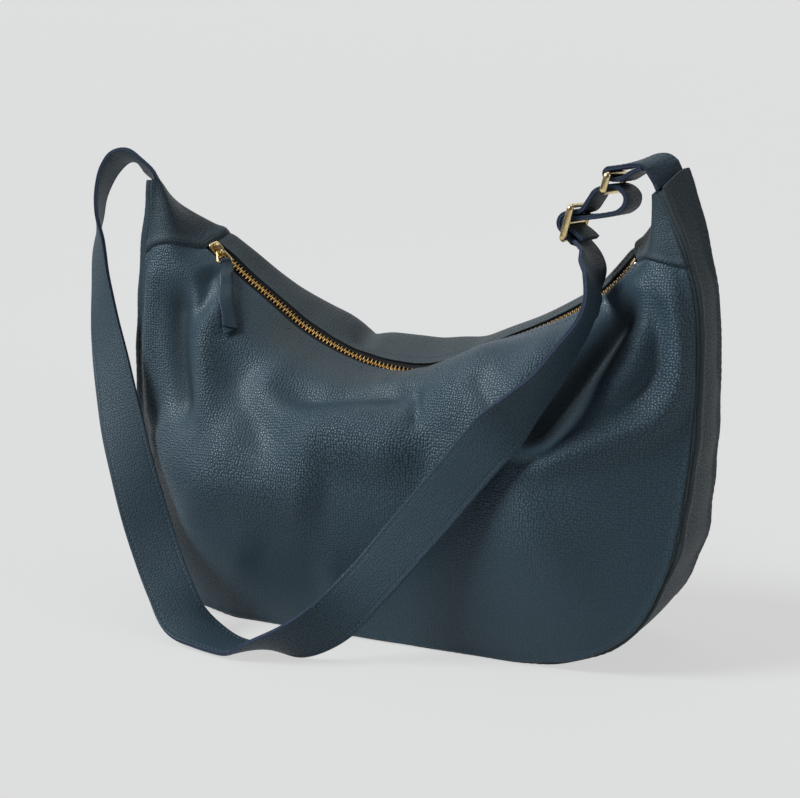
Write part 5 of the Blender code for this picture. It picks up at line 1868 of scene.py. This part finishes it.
@dataclass
class SliderAndTab:
    """The zip's slider with its crown and loop, and the leather tab that hangs from it."""

    form: BagForm
    finishes: Finishes
    shell: LeatherShell
    arc_radius: float = 198.0048 * MM
    arc_axis: tuple[float, float, float] = (0.0, 0.0, 0.3819938)
    slider_angle: float = -0.869555
    tilt: float = math.radians(30)
    chain_middle: float = -2.25 * MM
    tooth_height: float = 2.4 * MM
    length: float = 13.0 * MM
    half_width: float = 4.6 * MM
    plate: float = 1.1 * MM
    rim_width: float = 0.6 * MM
    rim_depth: float = 0.75 * MM
    crown_width: float = 4.4 * MM
    crown_length: float = 9.6 * MM
    crown_thick: float = 1.5 * MM
    wire: float = 0.8 * MM
    loop_length: float = 9.5 * MM
    loop_top: float = 2.6 * MM
    loop_end: float = 5.6 * MM
    loop_rise: float = math.radians(9)
    loop_sway: float = math.radians(15)
    loop_seat: float = 0.16
    gap: float = 0.3 * MM
    tab_leather: float = 1.2 * MM
    tab_width_mm: tuple[float, float] = (7.4, 10.4)
    tab_line_mm: tuple[tuple[float, float], ...] = (
        (-137.6, 236.0), (-133.4, 228.5), (-129.6, 220.5), (-124.0, 209.7), (-120.2, 200.2))
    tab_lift_mm: tuple[float, ...] = (2.6, 1.9, 1.5, 1.4, 1.4)

    def axes(self) -> tuple[Array, Array, Array, Array]:
        """The slider's middle on the chain with its ways along, to the front and up."""
        angle = self.slider_angle
        outwards = np.array((math.sin(angle), 0.0, -math.cos(angle)))
        along = np.array((math.cos(angle), 0.0, math.sin(angle)))
        front = math.sin(self.tilt) * outwards - math.cos(self.tilt) * Y_AXIS
        up = -math.cos(self.tilt) * outwards - math.sin(self.tilt) * Y_AXIS
        return np.array(self.arc_axis) + self.arc_radius * outwards, along, front, up

    def at(self, along: float, front: float, up: float) -> Array:
        """A point by its distances along the chain, to the front and up from the slider."""
        origin, *axes = self.axes()
        return origin + sum(size * axis for size, axis in zip((along, front, up), axes))

    @property
    def plate_top(self) -> float:
        """Height of the upper plate's face."""
        return self.chain_middle + self.tooth_height / 2 + self.gap + self.plate

    @property
    def loop_height(self) -> float:
        """Height of the loop's upper bar."""
        return self.plate_top + self.gap + self.wire

    def build(self) -> None:
        """Makes the slider, its crown, its loop and the tab."""
        self.body()
        self.crown()
        self.loop()
        self.tab()

    def plate_rings(self, near: float, far: float) -> Array:
        """Rings of a plate between two heights, its rims turned down at the near one."""
        rings = []
        rim = math.copysign(self.rim_depth, near - far)
        for along, wide, thick in ((-0.500, 0.66, 0.55), (-0.485, 0.76, 0.85), (-0.45, 0.87, 1.0),
                                   (-0.36, 0.97, 1.0), (-0.18, 1.0, 1.0), (0.05, 0.985, 1.0),
                                   (0.25, 0.93, 1.0), (0.40, 0.86, 1.0), (0.465, 0.80, 1.0),
                                   (0.49, 0.72, 0.85), (0.500, 0.62, 0.55)):
            side = self.half_width * wide
            top = between((near + far) / 2, far, thick)
            bottom = between((near + far) / 2, near, thick)
            outside = mirrored(((-side, bottom + rim), (-side - 0.02 * MM, bottom),
                                (-side, between(bottom, top, 0.6)),
                                (-side * 0.95, between(bottom, top, 0.9)),
                                (-side * 0.85, top), (0.0, top + (top - bottom) * 0.12)))
            inside = side - self.rim_width
            profile = outside + mirrored(((inside, bottom + rim), (inside, bottom)))
            rings.append([self.at(along * self.length, out, up) for out, up in profile])
        return np.array(rings)

    def body(self) -> None:
        """Two plates on a neck between the rows of teeth."""
        chain_top = self.chain_middle + self.tooth_height / 2
        chain_base = self.chain_middle - self.tooth_height / 2
        collector = Collector()
        for near, far in ((chain_top + self.gap, self.plate_top),
                          (chain_base - self.gap, chain_base - self.gap - self.plate)):
            collector.add_tube(self.plate_rings(near, far))
        neck = [(-6.2, 0.0), (-5.2, 1.0), (-4.2, 1.2), (-2.6, 0.0), (-4.2, -1.2), (-5.2, -1.0)]
        heights = (chain_base - self.gap * 2, chain_top + self.gap * 2)
        collector.add_tube([[self.at(along * MM, out * MM, up) for along, out in neck]
                            for up in heights])
        piece = collector.piece("polished_slider", self.finishes.brass)
        hand_over(piece, Slot.BRASS, Body.SLIDER, "slider_body")

    def crown(self) -> None:
        """The smooth hump over the upper plate that holds the loop."""
        foot = self.plate_top - 0.2 * MM
        inside = self.loop_height + self.wire + self.gap + self.crown_thick / 2
        back, front = -self.crown_length * 0.46, self.crown_length * 0.50
        path = curve_through(((back, foot), (back + 0.3 * MM, between(foot, inside, 0.6)),
                              (back + 1.7 * MM, inside), (0.2 * MM, inside + 0.25 * MM),
                              (front - 1.8 * MM, inside), (front - 0.3 * MM,
                                                           between(foot, inside, 0.55)),
                              (front, foot)), 5)
        ways = unit(np.gradient(path, axis=0))
        across = np.column_stack((-ways[:, 1], ways[:, 0]))
        rings = []
        half, thick = self.crown_width / 2, self.crown_thick / 2
        section = mirrored(((-1.0, -0.5), (-1.0, 0.35), (-0.7, 0.85), (0.0, 1.1)))
        section += [(0.7, -0.9), (-0.7, -0.9)]
        for place, normal in zip(path, across):
            ring = []
            for out, high in section:
                flat = place + normal * high * thick
                ring.append(self.at(flat[0], out * half, flat[1]))
            rings.append(ring)
        piece = Collector().add_tube(rings).piece("polished_crown", self.finishes.brass, 60.0)
        hand_over(piece, Slot.BRASS, Body.SLIDER, "slider_crown")

    def loop_axes(self) -> tuple[Array, Array, Array, Array]:
        """Middle of the loop's upper bar with the loop's length, width and normal."""
        _, along, front, up = self.axes()
        place = self.at(self.loop_seat * self.length, 0.0, self.loop_height)
        aside = math.cos(self.loop_sway) * along + math.sin(self.loop_sway) * front
        length = math.cos(self.loop_rise) * aside + math.sin(self.loop_rise) * up
        width = math.cos(self.loop_sway) * front - math.sin(self.loop_sway) * along
        return place, length, width, np.cross(width, length)

    def loop(self) -> None:
        """The wire loop under the crown, wider at its free end."""
        place, length, width, normal = self.loop_axes()
        corners = ((0, -self.loop_top), (0, self.loop_top),
                   (self.loop_length, self.loop_end), (self.loop_length, -self.loop_end))
        path = rounded_path(corners, 1.3 * MM, 6)
        points = place + path[:, :1] * length + path[:, 1:] * width
        rings = wire_rings(points, normal, self.wire, 14)
        piece = Collector().add_tube(rings, closed=True).piece(
            "polished_loop", self.finishes.brass, None)
        hand_over(piece, Slot.BRASS, Body.PULLER, "puller_loop")

    def tab(self) -> None:
        """The leather tab: one strip folded round the loop's end bar, both layers hanging."""
        place, length, width, normal = self.loop_axes()
        bar = place + length * self.loop_length
        radius = self.wire + self.gap + self.tab_leather / 2
        hang = [self.shell.over_front(np.array(spot) * MM, self.tab_leather + lift * MM)
                for spot, lift in zip(self.tab_line_mm, self.tab_lift_mm)]
        near = [bar + length * radius * reach for reach in (1.5, 3.0)]
        points, facing = curve_through(near + [point for point, _ in hang], 8,
                                       [normal] * 2 + [facing for _, facing in hang])
        widths = unit(np.cross(facing, ways_along(points)))
        facing = unit(np.cross(ways_along(points), widths))
        apart = (self.tab_leather + self.gap / 2) / 2
        turns = np.radians(np.linspace(-40, -320, 17))
        fold = [bar + radius * (math.cos(turn) * length + math.sin(turn) * normal)
                for turn in turns]
        shorter = len(points) - 2
        middle = np.concatenate(((points - facing * apart)[::-1], fold,
                                 (points + facing * apart)[:shorter]))
        across = np.concatenate((widths[::-1], [-width] * len(fold), widths[:shorter]))
        share = lengths_along(points) / lengths_along(points)[-1]
        half = between(*self.tab_width_mm, share) * MM / 2
        fold_halves = np.full(len(fold), self.tab_width_mm[0] * MM / 2)
        halves = np.concatenate((half[::-1], fold_halves, half[:shorter]))
        widths, normals = facing_frames(middle, across)
        thick = self.tab_leather / 2
        section = mirrored(((-1.0, -0.5), (-1.0, 0.5), (-0.9, 0.95), (-0.5, 1.0), (0.0, 1.05)))
        section += [(0.9, -0.95), (0.0, -1.0), (-0.9, -0.95)]
        finishes = [1, 0, 0, 0, 0, 0, 0, 1, 0, 0, 0, 0]
        rings = np.array([laid(point, wide * size, up * thick, section)
                          for point, wide, up, size in zip(middle, widths, normals, halves)])
        slant = unit(middle[-1] - middle[-2])
        for ring in (0, -1):
            offsets = np.array([out for out, _ in section])[:, None] * 1.4 * MM
            rings[ring] += slant * offsets * (-1 if ring == 0 else 1)
        faces = tube_faces(len(rings), len(section), closed=False)
        piece = make_piece("leather_tab", rings, faces,
                           [self.finishes.tab_leather, self.finishes.edge],
                           finishes * (len(rings) - 1) + [1, 1], sharp=38.0)
        around = lengths_along(rings[0])
        note_skin(piece, np.stack(np.meshgrid(lengths_along(middle), around, indexing="ij"),
                                  axis=-1))
        hand_over(piece, Slot.LEATHER, Body.TAB, "pull_tab")


# Studio.


@dataclass(frozen=True)
class Studio:
    """Camera, lights and the pale paper sweep."""

    camera_place: tuple[float, float, float] = (0.439, -0.921, 0.334)
    azimuth: float = 25.8
    pitch: float = 9.85
    lens: float = 67.95
    sensor: float = 36.0
    sun_tint: Colour = (0.93, 0.975, 1.0)
    world_light: Colour = (0.088, 0.090, 0.092)
    world_seen: Colour = (0.78, 0.78, 0.775)
    floor_drop: float = 0.0003
    sweep_start: float = 1.2
    sweep_radius: float = 1.4
    sweep_top: float = 3.4
    sweep_columns: tuple[float, ...] = (-3.5, -1.2, 1.2, 3.5)

    def build(self) -> None:
        """Makes the camera, the paper and the lights."""
        self.camera()
        self.paper()
        self.lights()

    def camera(self) -> None:
        """The camera, at the photograph's viewing angle."""
        camera = bpy.data.cameras.new("camera")
        camera.lens = self.lens
        camera.sensor_width = self.sensor
        camera.sensor_fit = "HORIZONTAL"
        camera.clip_start = 0.01
        holder = put("camera", camera)
        holder.location = self.camera_place
        holder.rotation_euler = (math.radians(90 - self.pitch), 0.0, math.radians(self.azimuth))
        bpy.context.scene.camera = holder

    def paper(self) -> None:
        """A floor that sweeps up into a backdrop behind the bag."""
        turn = math.radians(self.azimuth)
        away = np.array((-math.sin(turn), math.cos(turn), 0.0))
        beside = np.array((math.cos(turn), math.sin(turn), 0.0))
        start, radius = self.sweep_start, self.sweep_radius
        profile = [(-3.0, 0.0), (-1.0, 0.0), (0.0, 0.0), (start, 0.0)]
        profile += [(start + radius * math.sin(angle), radius * (1 - math.cos(angle)))
                    for angle in np.radians(np.linspace(6, 90, 15))]
        profile += [(start + radius, self.sweep_top)]
        points = [away * out + beside * wide + np.array((0.0, 0.0, high - self.floor_drop))
                  for out, high in profile for wide in self.sweep_columns]
        size = len(self.sweep_columns)
        corners = [row * size + column for row in range(len(profile) - 1)
                   for column in range(size - 1)]
        faces = [(corner, corner + 1, corner + size + 1, corner + size) for corner in corners]
        mesh = bpy.data.meshes.new("paper_sweep")
        mesh.from_pydata([tuple(point) for point in points], [], faces)
        mesh.shade_smooth()
        mesh.materials.append(StudioPaper("studio_paper").material())
        put("paper_sweep", mesh)

    def lamp(self, name: str, place: tuple[float, float, float], aim: tuple[float, float, float],
             size: float, power: float) -> None:
        """A soft square lamp aimed at a place."""
        light = bpy.data.lights.new(name, "AREA")
        light.shape = "SQUARE"
        light.size = size
        light.energy = power
        self.hang(light, place, np.array(aim) - np.array(place))

    def sun(self, name: str, way: tuple[float, float, float], spread: float,
            strength: float) -> None:
        """A far lamp that shines from a direction, as wide as its spread in degrees."""
        light = bpy.data.lights.new(name, "SUN")
        light.energy = strength
        light.color = self.sun_tint
        light.angle = math.radians(spread)
        self.hang(light, (0.0, 0.0, 0.0), -np.array(way))

    def hang(self, light: bpy.types.Light, place: tuple[float, float, float],
             way: Array) -> None:
        """Hangs a lamp at a place, turned so that it shines along a way."""
        holder = put(light.name, light)
        holder.location = place
        holder.rotation_euler = (math.atan2(math.hypot(way[0], way[1]), -way[2]), 0.0,
                                 math.atan2(way[1], way[0]) - math.pi / 2)

    def lights(self) -> None:
        """A large key from the upper left, a weak fill, and a pale world."""
        self.sun("key", (-0.60, -0.48, 0.64), 24.0, 3.4)
        self.lamp("top", (0.0, 0.3, 3.4), (0.0, 0.0, 0.10), 2.4, 22.0)
        self.lamp("fill", (2.6, -0.3, 1.2), (0.2, 0.0, 0.15), 1.8, 12.0)
        world = bpy.data.worlds.new("studio")
        world.use_nodes = True
        tree = world.node_tree
        background = tree.nodes["Background"]
        path = tree.nodes.new("ShaderNodeLightPath")
        colour = tree.nodes.new("ShaderNodeMix")
        colour.data_type = "RGBA"
        colour.inputs[6].default_value = (*self.world_light, 1.0)
        colour.inputs[7].default_value = (*self.world_seen, 1.0)
        tree.links.new(path.outputs["Is Camera Ray"], colour.inputs[0])
        tree.links.new(colour.outputs[2], background.inputs["Color"])
        background.inputs["Strength"].default_value = 1.0
        bpy.context.scene.world = world


def main() -> None:
    """Builds the bag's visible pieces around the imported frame."""
    logging.basicConfig(level=logging.INFO, format="%(name)s: %(message)s")
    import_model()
    bpy.context.scene.view_settings.view_transform = "Standard"
    Studio().build()
    finishes = Finishes()
    form = BagForm()
    shell = LeatherShell(form, finishes)
    shell.build()
    ZipWork(form, finishes).build()
    SliderAndTab(form, finishes, shell).build()
    Straps(form, finishes).build()
    RingAndSlide(finishes).build()


if __name__ == "__main__":
    main()
